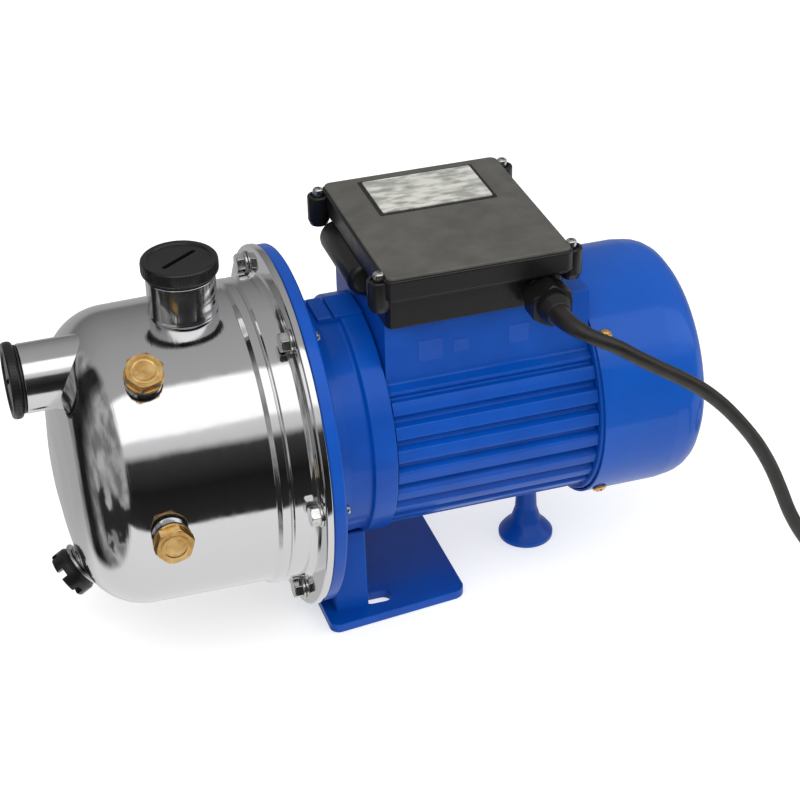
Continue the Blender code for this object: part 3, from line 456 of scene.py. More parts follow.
def coil_points():
    """Two flat layers: three turns inwards on the ground, then back out on top of them."""
    points = []
    turns = len(TURN_RADII) - 1
    for step in range(1, turns * COIL_STEPS + COIL_STEPS // 4 + 1):
        turn, part = divmod(step / COIL_STEPS, 1)
        turn = int(turn)
        radius = TURN_RADII[turn]
        if turn < turns:
            radius += (TURN_RADII[turn + 1] - radius) * ease((part - 0.68) / 0.30)
        climb = ease((turn + part - 2.30) / 0.36)
        angle = FULL_TURN * part - math.pi / 2
        height = LOW_LAYER + (HIGH_LAYER - LOW_LAYER) * climb
        points.append(COIL + Vector((radius * math.cos(angle), radius * math.sin(angle), height)))
    return points


def smooth_route(route, pieces):
    """Points on a Catmull-Rom curve through the route's own points."""
    ends = [route[0] * 2 - route[1]] + route + [route[-1] * 2 - route[-2]]
    points = []
    for a, b, c, d in zip(ends, ends[1:], ends[2:], ends[3:]):
        for i in range(pieces):
            t = i / pieces
            points.append(0.5 * ((2 * b) + (c - a) * t + (2 * a - 5 * b + 4 * c - d) * t * t
                                 + (3 * b - a - 3 * c + d) * t ** 3))
    return points + [route[-1]]


def curve_piece(name, look, points, radius, radii=None, nodes=()):
    """A round tube along points, tapered if radii are given."""
    data = bpy.data.curves.new(name, "CURVE")
    data.dimensions = "3D"
    data.bevel_depth = radius
    data.bevel_resolution = 5
    data.use_fill_caps = True
    spline = data.splines.new("POLY")
    spline.points.add(len(points) - 1)
    for i, (point, place) in enumerate(zip(spline.points, points)):
        point.co = (*place, 1)
        point.radius = radii[i] if radii else 1
    spline.use_smooth = True
    return add_piece(name, data, look, "pump", nodes)


def make_cord():
    """The mains cord with its coil, its strain relief and its moulded plug."""
    free = smooth_route([Vector(p) + Vector((JOINT_X, 0, 0)) for p in FREE_ROUTE], 4)
    start = COIL + Vector((0, -TURN_RADII[0], LOW_LAYER))
    join = smooth_route([free[-1], free[-1].lerp(start, 0.5), start], 3)[1:]
    plug_low, plug_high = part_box("mains_plug")
    plug_place = Vector(((plug_low.x + plug_high.x) / 2, plug_low.y, (plug_low.z + plug_high.z) / 2))
    coil = coil_points()
    end = [coil[-1].lerp(plug_place + Vector((0, 0.012, 0)), ease(i / 10)) for i in range(1, 11)]
    for i, point in enumerate(end, 1):
        point.y = coil[-1].y + (plug_place.y + 0.012 - coil[-1].y) * i / 10
    points = free + join + coil + end
    cord = curve_piece("mains_cord", "rubber", points, CORD_R, nodes=("power_cord", "cord_coil"))
    plug = lathe("plug_body", "black",
                 [(0, 0), (0, 0.0048, 0.0004), (0.0200, 0.0068, 0.004), (0.0240, 0.0135, 0.004),
                  (0.0330, 0.0180, 0.006), (0.0590, 0.0182, 0.0015), (0.0600, 0.0165, 0.0004),
                  (0.0600, 0)], plug_place, (0, 1, 0), 64, nodes=("mains_plug",))
    for number, side in enumerate((-1, 1), 1):
        tip = plug_high.y - plug_place.y
        lathe(f"plug_pin_{number}", "steel",
                          [(0.0590, 0), (0.0590, 0.0024), (tip, 0.0024, 0.0016), (tip, 0)],
                          plug_place + Vector((side * 0.0095, 0, 0)), (0, 1, 0), 24)
    relief = [p for p in free if -0.1000 < p.y < -0.0775 and p.x < JOINT_X + 0.142]
    taper = [1.5 - 0.42 * i / (len(relief) - 1) for i in range(len(relief))]
    boot = curve_piece("cord_strain_relief", "rubber", relief, CORD_R, taper)
    grips = [lathe(f"plug_grip_{i}", "black", [(at, 0.0170), (at, 0.01845, 0.0006),
             (at + 0.0022, 0.01845, 0.0006), (at + 0.0022, 0.0170)], plug_place, (0, 1, 0), 64)
             for i, at in enumerate((0.0385, 0.0440, 0.0495), 1)]


make_cord()


# ---------------------------------------------------------------- pump end

CASING_R = 0.0845
SHOULDER_R = 0.036
SHOULDER = (-0.0895, CASING_R - 0.001 - SHOULDER_R)
NOSE_X = -0.1305
SUCTION_END = Vector((JOINT_X - 0.1418, 0, SHAFT_Z + 0.059))
DISCHARGE_END = Vector((JOINT_X - 0.0515, 0, 0.2165))
PLUG_CENTRE = Vector((JOINT_X - 0.084, 0, SHAFT_Z))
FILL_DIR = radial(math.radians(58))
GAUGE_DIR = radial(0)
DRAIN_DIR = Vector((-math.cos(math.radians(33)), 0, -math.sin(math.radians(33))))
DRAIN_ROOT = Vector((JOINT_X + SHOULDER[0], 0, SHAFT_Z - SHOULDER[1]))
BOLT_DIRS = [radial(angle) for angle in around(6)]
BOLT_CIRCLE_R = 0.093
SLOT_TURN = math.radians(-55)


def make_casing():
    """Drawn casing: rolled flange, two swaged beads, barrel, shoulder and dished nose."""
    outline = [(-0.0003, 0.0860), (-0.0003, 0.1030, 0.0007), (-0.0045, 0.1030, 0.0012),
               (-0.0045, 0.0885, 0.0014), (-0.0075, 0.0866, 0.0030), (-0.0170, 0.0866, 0.0006),
               (-0.0182, 0.0856, 0.0006), (-0.0194, 0.0866, 0.0006), (-0.0238, 0.0866, 0.0010),
               (-0.0262, CASING_R, 0.0012), (SHOULDER[0], CASING_R - 0.0010)]
    outline += arc(SHOULDER[0], SHOULDER[1], SHOULDER_R, 90, 166, 24)[1:]
    outline += [(-0.1270, 0.0420, 0.012), (-0.1297, 0.0210, 0.03), (NOSE_X, 0)]
    inner = [(x + 0.0012, max(r - 0.0018, 0)) for x, r in fillet(outline)[-60:]]
    lathe("casing_shell", "stainless", outline + [(NOSE_X + 0.0015, 0)] + inner[::-1][1:] +
          [(-0.0003, 0.0845)], segments=192, nodes=("pump_casing",), sharp=50)
    lathe("suction_tube", "stub",
          [(-0.037, 0.0172), (-0.037, 0.0190), (0, 0.0190, 0.0006), (0, 0.0152, 0.0006),
           (-0.0120, 0.0152), (-0.0120, 0.0140), (-0.037, 0.0140)], SUCTION_END, (-1, 0, 0), 96)
    lathe("discharge_tube", "stub",
          [(-0.036, 0.0160), (-0.036, 0.0182), (-0.0232, 0.0182, 0.0005), (-0.0222, 0.0192, 0.0005),
           (-0.0214, 0.0192, 0.0005), (-0.0206, 0.0188, 0.0004), (0, 0.0188, 0.0006),
           (0, 0.0152, 0.0006), (-0.0120, 0.0152), (-0.0120, 0.0140), (-0.036, 0.0140)],
          DISCHARGE_END, (0, 0, 1), 96)
    lathe("discharge_collar", "stub", [(-0.036, 0.0170), (-0.036, 0.0204), (-0.0310, 0.0194, 0.003),
                                       (-0.0240, 0.0186, 0.001), (-0.0232, 0.0180)],
          DISCHARGE_END, (0, 0, 1), 96)
    for label, along in (("fill", FILL_DIR), ("gauge", GAUGE_DIR)):
        lathe(label + "_boss_ring", "stub", [(0.0810, 0.0068), (0.0810, 0.0105), (0.0848, 0.0096, 0.001),
                                             (0.0871, 0.0090, 0.0005), (0.0871, 0.0068)],
              PLUG_CENTRE, along, 64)
    lathe("drain_boss_ring", "stub", [(0.0300, 0.0068), (0.0300, 0.0122), (0.0350, 0.0114, 0.001),
                                      (0.0368, 0.0108, 0.0005), (0.0368, 0.0068)],
          DRAIN_ROOT, DRAIN_DIR, 64)


def make_port_plugs():
    """Pipe plugs with a ribbed rim, a sunken face and a coin slot, and their seals."""
    for label, place, along, head in (("discharge", DISCHARGE_END, Vector((0, 0, 1)), 0.0080),
                                      ("suction", SUCTION_END, Vector((-1, 0, 0)), 0.0056)):
        face = 0.0020 + head
        lathe(label + "_seal_ring", "rubber",
              [(0.0003, 0.0153), (0.0003, 0.0187, 0.0005), (0.0017, 0.0187, 0.0005),
               (0.0017, 0.0153)], place, along, 96, label + "_seal_ring", (label + "_seal",))
        outline = [(-0.0100, 0), (-0.0100, 0.0136), (-0.0090, 0.0148, 0.0004), (0.0020, 0.0148),
                   (0.0020, 0.0200, 0.0008), (0.0030, 0.0208, 0.0006),
                   (face - 0.0010, 0.0208, 0.0006), (face, 0.0200, 0.0008),
                   (face, 0.0172, 0.0005), (face - 0.0010, 0.0166, 0.0005), (face - 0.0010, 0)]
        plug = lathe(label + "_cap", "black", outline, place, along, 120,
                     label + "_plug_body", (label + "_plug",))
        slot = prism_mesh(label + "_coin_slot",
                          rounded_box((-0.0014, -0.0125), (0.0014, 0.0125), 0.0013, 4),
                          face - 0.0038, face + 0.0010,
                          facing(place, along) @ Matrix.Rotation(SLOT_TURN, 4, "Z"))
        cut(plug, label + "_coin_slot", slot)
        ribs = bmesh.new()
        for angle in around(60):
            middle = Vector((0.0206 * math.cos(angle), 0.0206 * math.sin(angle), 0.002 + head / 2))
            turn = Matrix.Translation(middle) @ Matrix.Rotation(angle, 4, "Z")
            bmesh.ops.create_cube(ribs, size=1, matrix=turn @ Matrix.Diagonal(
                (0.0007, 0.0009, head - 0.0032, 1)))
        mesh = bpy.data.meshes.new(label + "_cap_ribs")
        ribs.to_mesh(mesh)
        ribs.free()
        mesh.transform(facing(place, along))
        soft_edges(add_piece(label + "_cap_ribs", mesh, "black", label + "_plug_body"), 0.0002, 2)


def hex_outline(across_flats, turn=0.0):
    """A hexagon with barely rounded corners."""
    radius = across_flats / math.sqrt(3)
    corners = [(radius * math.cos(a), radius * math.sin(a), 0.0006) for a in around(6, turn)]
    return round_corners(corners, 3)


def chamfered_head(name, look, across_flats, low, high, place, along, body, nodes, turn=0.0):
    """A hexagon head whose corners are turned off at both ends."""
    head = prism_mesh(name, hex_outline(across_flats, turn), low, high, facing(place, along))
    obj = add_piece(name, head, look, body, nodes)
    radius = across_flats / math.sqrt(3)
    cone = lathe_mesh(name + "_chamfer", [(low - 0.001, 0), (low - 0.001, radius * 0.90),
                                          (low + 0.0008, radius * 1.02), (high - 0.0012, radius * 1.02),
                                          (high + 0.0002, radius * 0.86), (high + 0.0002, 0)],
                      place, along, 64)
    cut(obj, name + "_chamfer", cone)
    obj.modifiers[-1].operation = "INTERSECT"
    return obj


def make_small_plugs():
    """Brass filling and gauge plugs with sunken heads, and their washers."""
    for label, along in (("fill", FILL_DIR), ("gauge", GAUGE_DIR)):
        low = 0.0875
        lathe(label + "_washer_ring", "rubber",
              [(low, 0.0066), (low, 0.0104, 0.0004), (low + 0.0014, 0.0104, 0.0004),
               (low + 0.0014, 0.0066)], PLUG_CENTRE, along, 64, label + "_washer_ring",
              (label + "_washer",))
        base = low + 0.0017
        plug_body = label + "_plug_body"
        lathe(label + "_plug_stem", "brass", [(base - 0.010, 0), (base - 0.010, 0.0056),
              (base - 0.009, 0.0062), (base + 0.001, 0.0062), (base + 0.001, 0)],
              PLUG_CENTRE, along, 48, plug_body)
        lathe(label + "_plug_flange", "brass",
              [(base, 0), (base, 0.0106, 0.0003), (base + 0.0016, 0.0106, 0.0003),
               (base + 0.0016, 0)], PLUG_CENTRE, along, 64, plug_body)
        chamfered_head(label + "_plug_head", "brass", 0.0190, base + 0.0012, base + 0.0070,
                       PLUG_CENTRE, along, plug_body, (label + "_plug",), math.radians(12))
        lathe(label + "_plug_dish", "brass",
              [(base + 0.0066, 0), (base + 0.0066, 0.0078), (base + 0.0072, 0.0078, 0.0003),
               (base + 0.0072, 0.0062, 0.0003), (base + 0.0069, 0.0055), (base + 0.0069, 0.0012),
               (base + 0.0071, 0)], PLUG_CENTRE, along, 64, plug_body)


def make_drain_plug():
    """Castellated drain knob and its pressed washer."""
    low = 0.0371
    lathe("drain_washer_ring", "steel",
          [(low, 0.0066), (low, 0.0135, 0.0004), (low + 0.0014, 0.0135, 0.0004),
           (low + 0.0014, 0.0066)], DRAIN_ROOT, DRAIN_DIR, 96, "drain_washer_ring", ("drain_washer",))
    base = low + 0.0017
    outline = [(base - 0.0100, 0), (base - 0.0100, 0.0062), (base, 0.0062), (base, 0.0118, 0.0005),
               (base + 0.0030, 0.0137, 0.0010), (base + 0.0105, 0.0137, 0.0010),
               (base + 0.0105, 0.0082, 0.0006), (base + 0.0045, 0.0078, 0.0006), (base + 0.0045, 0)]
    knob = lathe("drain_knob", "black", outline, DRAIN_ROOT, DRAIN_DIR, 96,
                 "drain_plug_body", ("drain_plug",))
    for number in range(3):
        turn = Matrix.Rotation(number * math.pi / 3 + math.radians(15), 4, "Z")
        notch = [(-0.0024, -0.020), (0.0024, -0.020), (0.0024, 0.020), (-0.0024, 0.020)]
        cut(knob, f"drain_notch_{number}",
            prism_mesh(f"drain_notch_{number}", notch, base + 0.0065,
                       base + 0.020, facing(DRAIN_ROOT, DRAIN_DIR) @ turn))


def make_flange_bolts():
    """Flange bolts with washers, chamfered heads and threaded ends behind the bracket."""
    for number, along in enumerate(BOLT_DIRS, 1):
        place = SHAFT + along * BOLT_CIRCLE_R
        node = f"flange_bolt_{number}"
        chamfered_head(f"bolt_head_{number}", "steel", 0.0100, 0.0062, 0.0108, place, (-1, 0, 0),
                       "pump", (node,), math.radians(17 * number))
        lathe(f"bolt_washer_{number}", "steel",
              [(0.0046, 0), (0.0046, 0.0066, 0.0004), (0.0062, 0.0066, 0.0006), (0.0062, 0)],
              place, (-1, 0, 0), 48)
        thread = [(-0.0060, 0)]
        for turn in range(9):
            thread += [(-0.0060 - 0.0005 * turn, 0.0030), (-0.00625 - 0.0005 * turn, 0.0026)]
        thread += [(-0.0108, 0.0024), (-0.0108, 0)]
        lathe(f"bolt_end_{number}", "steel", thread, place, (-1, 0, 0), 32)


make_casing()
make_port_plugs()
make_small_plugs()
make_drain_plug()
make_flange_bolts()


# ---------------------------------------------------------------- motor

NECK_R = 0.0670
COLLAR_R = 0.0685


def make_bracket():
    """Cast bracket: flange, valley, neck, collar, slotted flat and the bosses behind the bolts."""
    outline = [(0, 0.0800), (0, 0.1020, 0.0010), (0.0075, 0.1020, 0.0018), (0.0078, 0.0790, 0.0060),
               (0.0130, 0.0690, 0.0050), (0.0200, NECK_R, 0.0100), (0.0320, NECK_R - 0.0010, 0.0020),
               (0.0336, COLLAR_R, 0.0012), (0.0464, COLLAR_R, 0.0012), (0.0470, 0.0650, 0.0006),
               (0.0470, 0.0580), (0.0200, 0.0580), (0.0150, 0.0500), (0.0150, 0.0200),
               (0.0060, 0.0200), (0.0060, 0.0800)]
    lathe("bracket_casting", "blue", outline, segments=192, nodes=("motor_bracket",), sharp=60)
    for number, along in enumerate(BOLT_DIRS, 1):
        place = SHAFT + along * BOLT_CIRCLE_R
        lathe(f"bracket_boss_{number}", "blue", [(0.0060, 0), (0.0060, 0.0068), (0.0086, 0.0062, 0.0008),
                                                 (0.0086, 0)], place, (1, 0, 0), 40)
    flat = block("bracket_flat", "blue", (JOINT_X + 0.0200, -0.0100, SHAFT_Z + 0.0600),
                 (JOINT_X + 0.0465, 0.0140, SHAFT_Z + 0.0694), 0.0012)
    groove = [(-0.0008, -0.0300), (0.0008, -0.0300), (0.0008, 0.0300), (-0.0008, 0.0300)]
    cut(flat, "bracket_flat_slot", prism_mesh("bracket_flat_slot", groove, SHAFT_Z + 0.0670,
        SHAFT_Z + 0.0720, Matrix.Translation((JOINT_X + 0.0290, 0, 0))))


def fin_outline():
    """Housing section: broad rounded fins at even steps and the flat-sided pad for the box."""
    half, top = 0.0460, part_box("motor_housing")[1].z - SHAFT_Z
    root, tip, step = 0.0618, 0.0665, math.radians(12)
    ledge_z = 0.0402
    points = [(-half - 0.0060, ledge_z - 0.0016, 0.0006), (-half - 0.0060, ledge_z, 0.0006),
              (-half, ledge_z + 0.0020, 0.0020), (-half, top, 0.0010), (half, top, 0.0010),
              (half, ledge_z + 0.0020, 0.0020), (half + 0.0060, ledge_z, 0.0006),
              (half + 0.0060, ledge_z - 0.0016, 0.0006)]
    for number in range(21):
        middle = math.radians(30) - number * step
        for radius, offset in ((root, 4.9), (tip, 3.1), (tip, -3.1), (root, -4.9)):
            angle = middle + math.radians(offset)
            points.append((radius * math.cos(angle), radius * math.sin(angle), 0.0012))
    return round_corners(points, 4)


def make_housing():
    """Finned motor housing with cast details on the pad."""
    low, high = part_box("motor_housing")
    housing = prism("motor_shell", "blue", fin_outline(), low.x, high.x, across((0, 0, SHAFT_Z)),
                    nodes=("motor_housing",))
    for polygon in housing.data.polygons:
        polygon.use_smooth = True
    housing.data.set_sharp_from_angle(angle=math.radians(45))
    for side in (-1, 1):
        for number, (start, end, drop, rise) in enumerate(
                ((0.0660, 0.0800, 0.1640, 0.1770), (0.0860, 0.0950, 0.1660, 0.1740),
                 (0.1180, 0.1300, 0.1650, 0.1770)), 1):
            face = side * 0.0460
            block(f"pad_cast_mark_{number}_{'near' if side < 0 else 'far'}", "blue",
                  (JOINT_X + start, min(face, face + side * 0.0002), drop),
                  (JOINT_X + end, max(face, face + side * 0.0002), rise), 0.0002)


def make_end_shield():
    """Rear end shield, its rolled edge and the foot boss below."""
    outline = [(0.1653, 0.0600), (0.1653, 0.0690, 0.0010), (0.1780, 0.0690, 0.0008),
               (0.1780, 0.0600), (0.1700, 0.0600), (0.1700, 0.0200), (0.1660, 0.0200),
               (0.1660, 0.0600)]
    lathe("end_shield_ring", "blue", outline, segments=160, nodes=("rear_end_shield",))
    lathe("end_shield_lug", "blue", [(0.1540, 0), (0.1540, 0.0060, 0.0012), (0.1668, 0.0060, 0.0012),
                                     (0.1668, 0)],
          Vector((JOINT_X, 0, SHAFT_Z)) + radial(math.radians(-82)) * 0.0645, (1, 0, 0), 40)


def make_fan_cover():
    """Pressed fan cover: rolled mouth, barrel, crease, dome and slotted end grille."""
    wall = 0.0014
    outside = [(0.1670, 0.0712, 0.0004), (0.2110, 0.0712, 0.010), (0.2147, 0.0707, 0.0006)]
    outside += [(0.2181, 0.0703), (0.2214, 0.0696), (0.2248, 0.0682), (0.2282, 0.0658),
                (0.2315, 0.0612), (0.2349, 0.0530), (0.2370, 0.0440), (0.2383, 0.0344),
                (0.2391, 0.0200), (0.2394, 0.0080), (0.2394, 0)]
    inside = [(x - wall * 0.8, max(r - wall, 0)) for x, r in fillet(outside)[1:]]
    outline = outside + [(0.2384, 0)] + inside[::-1][1:] + [(0.1670, 0.0700)]
    cover = lathe("fan_cover_shell", "cover", outline, segments=192, nodes=("fan_cover",), sharp=50)
    tools = bmesh.new()
    for count, radius, width, reach in ((12, 0.0225, 0.0042, 0.0085), (20, 0.0440, 0.0040, 0.0105)):
        for angle in around(count, 0.1):
            slot = rounded_box((-reach / 2, -width / 2), (reach / 2, width / 2), width * 0.45, 3)
            mesh = prism_mesh("slot", slot, 0.2250, 0.2700, across(SHAFT)
                              @ Matrix.Rotation(angle, 4, "Z") @ Matrix.Translation((radius, 0, 0)))
            tools.from_mesh(mesh)
            bpy.data.meshes.remove(mesh)
    mesh = bpy.data.meshes.new("cover_slots")
    tools.to_mesh(mesh)
    tools.free()
    cut(cover, "cover_slots", mesh)
    for number, angle in enumerate(around(4, math.pi / 4), 1):
        place = Vector((JOINT_X + 0.1735, 0, SHAFT_Z))
        screw = lathe(f"cover_screw_head_{number}", "brass",
                      [(0.0690, 0), (0.0690, 0.0019), (0.0713, 0.0019), (0.0713, 0.0043, 0.0004),
                       (0.0726, 0.0038, 0.0012), (0.0738, 0.0018, 0.003), (0.0739, 0)],
                      place, radial(angle), 48, "pump", (f"fan_cover_screw_{number}",))
        cross_slots(screw, f"cover_screw_cross_{number}", 0.0052, 0.0725, 0.0760,
                    facing(place, radial(angle)), (0, math.pi / 2))


make_bracket()
make_housing()
make_end_shield()
make_fan_cover()


# ---------------------------------------------------------------- feet

def make_feet():
    """Pressed foot plate with its saddle, and the flared rear foot."""
    x0, x1 = JOINT_X + 0.0085, JOINT_X + 0.0925
    front, rear, thick = 0.0570, 0.0480, 0.0055
    plate = prism("foot_sheet", "blue",
                  round_corners([(x0, -front, 0.0055), (x1, -rear, 0.0075),
                                 (x1, rear, 0.0075), (x0, front, 0.0055)], 8),
                  0, thick, Matrix(), 0.0014, nodes=("foot_plate",))
    for side in (-1, 1):
        x, y, half = JOINT_X + 0.0410, side * 0.0380, 0.0050
        slot = rounded_box((x - 0.0085, y - half), (x + 0.0085, y + half), half * 0.98, 8)
        cut(plate, f"foot_slot_{side}", prism_mesh(f"foot_slot_{side}", slot, -0.01, 0.02, Matrix()))
        plate.modifiers.move(len(plate.modifiers) - 1, 0)
    saddle = [(-0.0440, 0.0040), (0.0440, 0.0040), (0.0400, 0.0560), (-0.0400, 0.0560)]
    web = prism("foot_saddle", "blue", saddle, JOINT_X + 0.0150, JOINT_X + 0.0345,
                across((0, 0, 0)), 0.0012)
    cut(web, "saddle_hollow", lathe_mesh("saddle_hollow", [(0, 0), (0, 0.0668), (0.06, 0.0668),
                                                            (0.06, 0)], SHAFT, (1, 0, 0), 96))
    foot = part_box("rear_foot")
    place = Vector(((foot[0].x + foot[1].x) / 2, 0, 0))
    top = foot[1].z
    lathe("rear_foot_cast", "blue",
          [(0, 0), (0, 0.0163, 0.0006), (0.0030, 0.0165, 0.0014), (0.0064, 0.0140, 0.0030),
           (0.0115, 0.0092, 0.0080), (0.0200, 0.0066, 0.012), (0.0330, 0.0060, 0.01),
           (top, 0.0078, 0.001), (top, 0)], place, (0, 0, 1), 96, nodes=("rear_foot",))


make_feet()


# ---------------------------------------------------------------- terminal box

def make_box():
    """Terminal box: tray, overhanging lid with a raised rim, ears, screws and data plate."""
    base_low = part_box("terminal_box_base")[0]
    lid_low, lid_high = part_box("terminal_box_lid")
    x0, x1 = JOINT_X + 0.0440, JOINT_X + 0.1500
    half = lid_high.y + 0.0015
    top, split = lid_high.z, lid_low.z
    wall_x0, wall_x1, wall_half = x0 + 0.0030, x1 - 0.0025, 0.0525
    slab("box_tray", "black", (wall_x0, -wall_half, base_low.z), (wall_x1, wall_half, split - 0.0004),
         0.004, 0.0008, nodes=("terminal_box_base",))
    slab("box_tray_rim", "black", (x0 + 0.0010, -half + 0.0030, split - 0.0020),
         (x1 - 0.0010, half - 0.0030, split - 0.0003), 0.004, 0.0004)
    slab("box_lid_skirt", "black", (x0, -half, split), (x1, half, top - 0.0016), 0.005, 0.0012,
         nodes=("terminal_box_lid",))
    inset = 0.0014
    slab("box_lid_top", "lid", (x0 + inset, -half + inset, top - 0.0024),
         (x1 - inset, half - inset, top), 0.004, 0.0006)
    plate_low, plate_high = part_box("data_plate")
    border = 0.0022
    slab("plate_frame", "black", (plate_low.x - border, plate_low.y - border, top - 0.0005),
         (plate_high.x + border, plate_high.y + border, top + 0.0002), 0.001, 0.0001, 3)
    slab("blank_plate", "label", (plate_low.x, plate_low.y, top + 0.0001),
         (plate_high.x, plate_high.y, plate_high.z), 0.0012, 0.0002, 4, ("data_plate",))
    for number in range(1, 5):
        low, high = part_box(f"lid_screw_{number}")
        place = Vector(((low.x + high.x) / 2, (low.y + high.y) / 2, 0))
        lathe(f"box_ear_{number}", "black",
              [(split - 0.0070, 0), (split - 0.0070, 0.0050), (split - 0.0040, 0.0062, 0.001),
               (top - 0.0030, 0.0062, 0.0010), (top - 0.0030, 0.0044, 0.0005),
               (top - 0.0042, 0.0040), (top - 0.0042, 0)], place, (0, 0, 1), 64)
        head = high.z
        screw = lathe(f"lid_screw_head_{number}", "steel",
                      [(top - 0.0042, 0), (top - 0.0042, 0.0031, 0.0003),
                       (head - 0.0008, 0.0029, 0.0012), (head, 0.0015, 0.002), (head, 0)],
                      place, (0, 0, 1), 48,
                      nodes=(f"lid_screw_{number}",))
        cross_slots(screw, f"lid_screw_cross_{number}", 0.0044, head - 0.0012, head + 0.002,
                    Matrix.Translation(place), (0.4, 0.4 + math.pi / 2))
    lathe("capacitor_belly", "black",
          [(-0.0300, 0), (-0.0300, 0.0100, 0.004), (0.0300, 0.0100, 0.004), (0.0300, 0)],
          Vector((JOINT_X + 0.0475, 0.0150, split - 0.0110)), (0, 1, 0), 64)


def make_gland():
    """Cable gland: flange, hexagon nut with a flared end, and a clamping nose."""
    place = Vector((GLAND_X, 0, GLAND_Z))
    lathe("gland_flange", "black", [(0.0500, 0.0060), (0.0500, 0.0107), (0.0566, 0.0107, 0.0008),
                                    (0.0566, 0.0060)], place, (0, -1, 0), 64, nodes=("cable_gland",))
    chamfered_head("gland_hexagon", "black", 0.0220, 0.0576, 0.0716, place, (0, -1, 0),
                   "pump", ("gland_nut",), math.radians(30))
    lathe("gland_nose", "black", [(0.0700, 0.0042), (0.0700, 0.0092), (0.0740, 0.0090, 0.0010),
                                  (0.0800, 0.0064, 0.0012), (0.0806, 0.0044), (0.0800, 0.0042)],
          place, (0, -1, 0), 64)


make_box()
make_gland()


# ---------------------------------------------------------------- hidden parts, floor and light

for entry in frame["record"]["subparts"]:
    node = NODES[entry["node"]]
    if not node.hide_render:
        node.data.materials.clear()
        node.data.materials.append(MATERIALS[SLOT_MATERIAL[entry["material_slot"]]].data)


def make_floor():
    """A plain pale floor that reaches past every view."""
    mesh = bpy.data.meshes.new("floor")
    reach = 12.0
    mesh.from_pydata([(-reach, -reach, 0), (reach, -reach, 0), (reach, reach, 0), (-reach, reach, 0)],
                     [], [(0, 1, 2, 3)])
    floor = bpy.data.objects.new("floor", mesh)
    bpy.context.scene.collection.objects.link(floor)
    floor.location.z = -0.0004
    floor.visible_glossy = False
    paint = Material("pale_floor", (0.55, 0.55, 0.55), 0.9)
    paint.set("Emission Color", (1, 1, 1, 1))
    paint.set("Emission Strength", 0.56)
    mesh.materials.append(paint.data)


def make_light(name, place, target, size, power):
    """A soft square lamp aimed at a point, left out of reflections."""
    data = bpy.data.lights.new(name, "AREA")
    data.energy = power
    data.size = size
    lamp = bpy.data.objects.new(name, data)
    bpy.context.scene.collection.objects.link(lamp)
    lamp.location = place
    lamp.rotation_euler = (Vector(target) - Vector(place)).to_track_quat("-Z", "Y").to_euler()
    lamp.visible_glossy = False


# Radiance that shiny surfaces see, by angle round the shaft line in degrees: 0 is the near
# horizon, 90 overhead, -90 straight down and 180 the far horizon.
STUDIO_BANDS = [(-180, 0.40), (-142, 0.50), (-128, 0.85), (-60, 0.95), (-31, 1.00), (-29, 0.03),
                (0, 0.012), (24, 0.05), (30, 0.75), (39, 0.85), (42, 1.5), (58, 1.6), (75, 1.6),
                (78, 0.50), (120, 0.42), (150, 0.30), (172, 0.20), (180, 0.40)]
# Radiance of the screen past the pump's nose, by angle round the vertical: 0 is straight
# along -X and positive angles are towards the far side.
END_SCREEN = [(-180, 0.45), (-60, 0.42), (-40, 0.36), (-15, 0.44), (4, 0.34), (12, 0.10),
              (20, 0.02), (33, 0.02), (40, 0.36), (60, 0.46), (180, 0.45)]


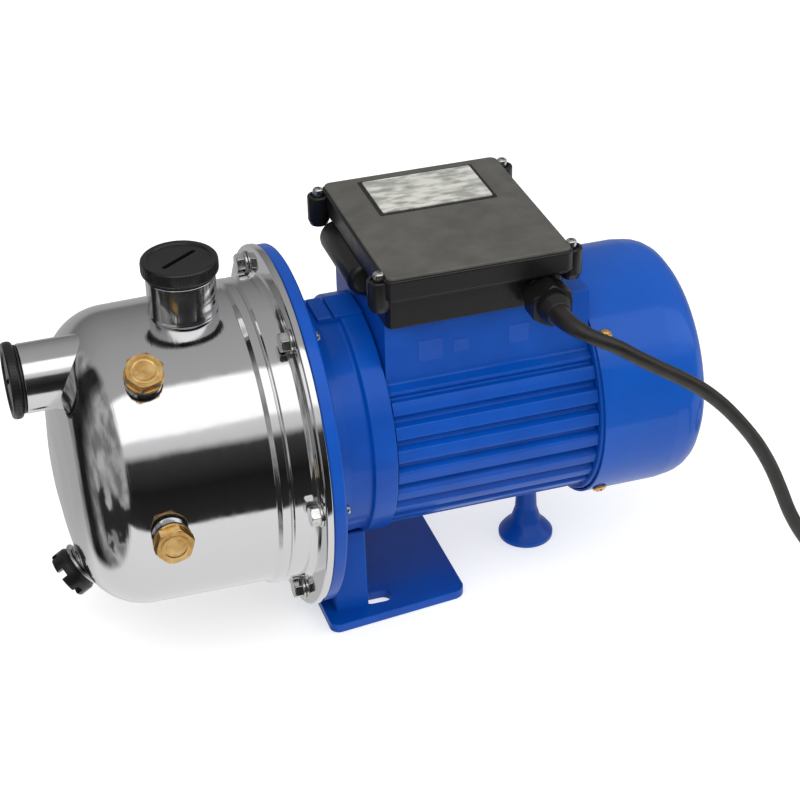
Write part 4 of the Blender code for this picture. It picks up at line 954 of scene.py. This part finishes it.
class World:
    """The world's node tree, with helpers for its reflected surroundings."""

    def __init__(self, name):
        self.data = bpy.data.worlds.new(name)
        self.data.use_nodes = True
        self.tree = self.data.node_tree
        self.tree.nodes.clear()
        self.way = self.node("ShaderNodeTexCoord").outputs["Generated"]
        self.parts = self.node("ShaderNodeSeparateXYZ")
        self.link(self.way, self.parts.inputs[0])

    def node(self, kind, **values):
        """A new node with its properties set."""
        made = self.tree.nodes.new(kind)
        for name, value in values.items():
            setattr(made, name, value)
        return made

    def link(self, source, target):
        """Join an output to an input."""
        self.tree.links.new(source, target)

    def maths(self, operation, first, second):
        """One sum on two values, each an output or a number."""
        made = self.node("ShaderNodeMath", operation=operation)
        for socket, value in zip(made.inputs, (first, second)):
            if isinstance(value, (int, float)):
                socket.default_value = value
            else:
                self.link(value, socket)
        return made.outputs[0]

    def between(self, source, start, end, low=0.0, high=1.0, kind="SMOOTHSTEP"):
        """Map a range of a value onto another range."""
        made = self.node("ShaderNodeMapRange", interpolation_type=kind)
        limits = {"From Min": start, "From Max": end, "To Min": low, "To Max": high}
        for name, value in limits.items():
            made.inputs[name].default_value = value
        self.link(source, made.inputs["Value"])
        return made.outputs["Result"]

    def bands(self, top, bottom, stops):
        """Radiance read from stops in degrees at the angle atan2(top, bottom)."""
        angle = self.maths("ARCTAN2", top, bottom)
        ramp = self.node("ShaderNodeValToRGB")
        peak = max(value for degrees, value in stops)
        elements = ramp.color_ramp.elements
        while len(elements) < len(stops):
            elements.new(0.5)
        for element, (degrees, value) in zip(elements, stops):
            element.position = (degrees + 180) / 360
            element.color = (value / peak, value / peak, value / peak, 1)
        self.link(self.between(angle, -math.pi, math.pi, kind="LINEAR"), ramp.inputs["Fac"])
        return self.maths("MULTIPLY", ramp.outputs["Color"], peak)

    def blend(self, share, first, second):
        """First where the share is 0 and second where it is 1."""
        rise = self.maths("SUBTRACT", second, first)
        return self.maths("ADD", first, self.maths("MULTIPLY", rise, share))

    def glow(self, colour, strength):
        """A background of a colour, with its strength from an output or a number."""
        made = self.node("ShaderNodeBackground")
        made.inputs["Color"].default_value = (*colour, 1)
        if isinstance(strength, (int, float)):
            made.inputs["Strength"].default_value = strength
        else:
            self.link(strength, made.inputs["Strength"])
        return made.outputs[0]


def make_world():
    """Even light for the camera and matte surfaces, and a studio for reflections."""
    world = World("studio")
    bpy.context.scene.world = world.data
    x, y, z = world.parts.outputs
    left = world.maths("MULTIPLY", x, -1)
    near = world.maths("MULTIPLY", y, -1)
    bands = world.bands(z, near, STUDIO_BANDS)
    screen = world.bands(y, left, END_SCREEN)
    mottle = world.node("ShaderNodeTexNoise")
    mottle.inputs["Scale"].default_value = 4.5
    mottle.inputs["Detail"].default_value = 3.0
    world.link(world.way, mottle.inputs["Vector"])
    patches = world.between(mottle.outputs["Fac"], 0.35, 0.65, 0.55, 1.35)
    ragged = world.maths("ADD", z, world.between(mottle.outputs["Fac"], 0.3, 0.7, -0.14, 0.14))
    foot = world.between(ragged, -0.62, -0.54)
    head = world.between(ragged, -0.22, -0.30)
    patch = world.maths("MULTIPLY", world.maths("MULTIPLY", foot, head),
                        world.between(y, 0.05, -0.10))
    screen = world.maths("MULTIPLY", screen, patches)
    screen = world.blend(patch, screen, 0.03)
    seen = world.blend(world.between(left, 0.50, 0.62), bands, screen)
    shiny = world.glow((1, 1, 1), seen)
    soft = world.glow((1, 1, 1), world.between(z, -1, 1, 0.60, 1.0, "LINEAR"))
    path = world.node("ShaderNodeLightPath")
    mix = world.node("ShaderNodeMixShader")
    world.link(path.outputs["Is Glossy Ray"], mix.inputs[0])
    world.link(soft, mix.inputs[1])
    world.link(shiny, mix.inputs[2])
    world.link(mix.outputs[0], world.node("ShaderNodeOutputWorld").inputs[0])


make_floor()
make_light("key", (-0.6, -0.9, 1.6), (0, 0, 0.1), 1.4, 18)
make_light("fill", (1.2, -0.7, 0.9), (0, 0, 0.1), 0.9, 6)
make_world()
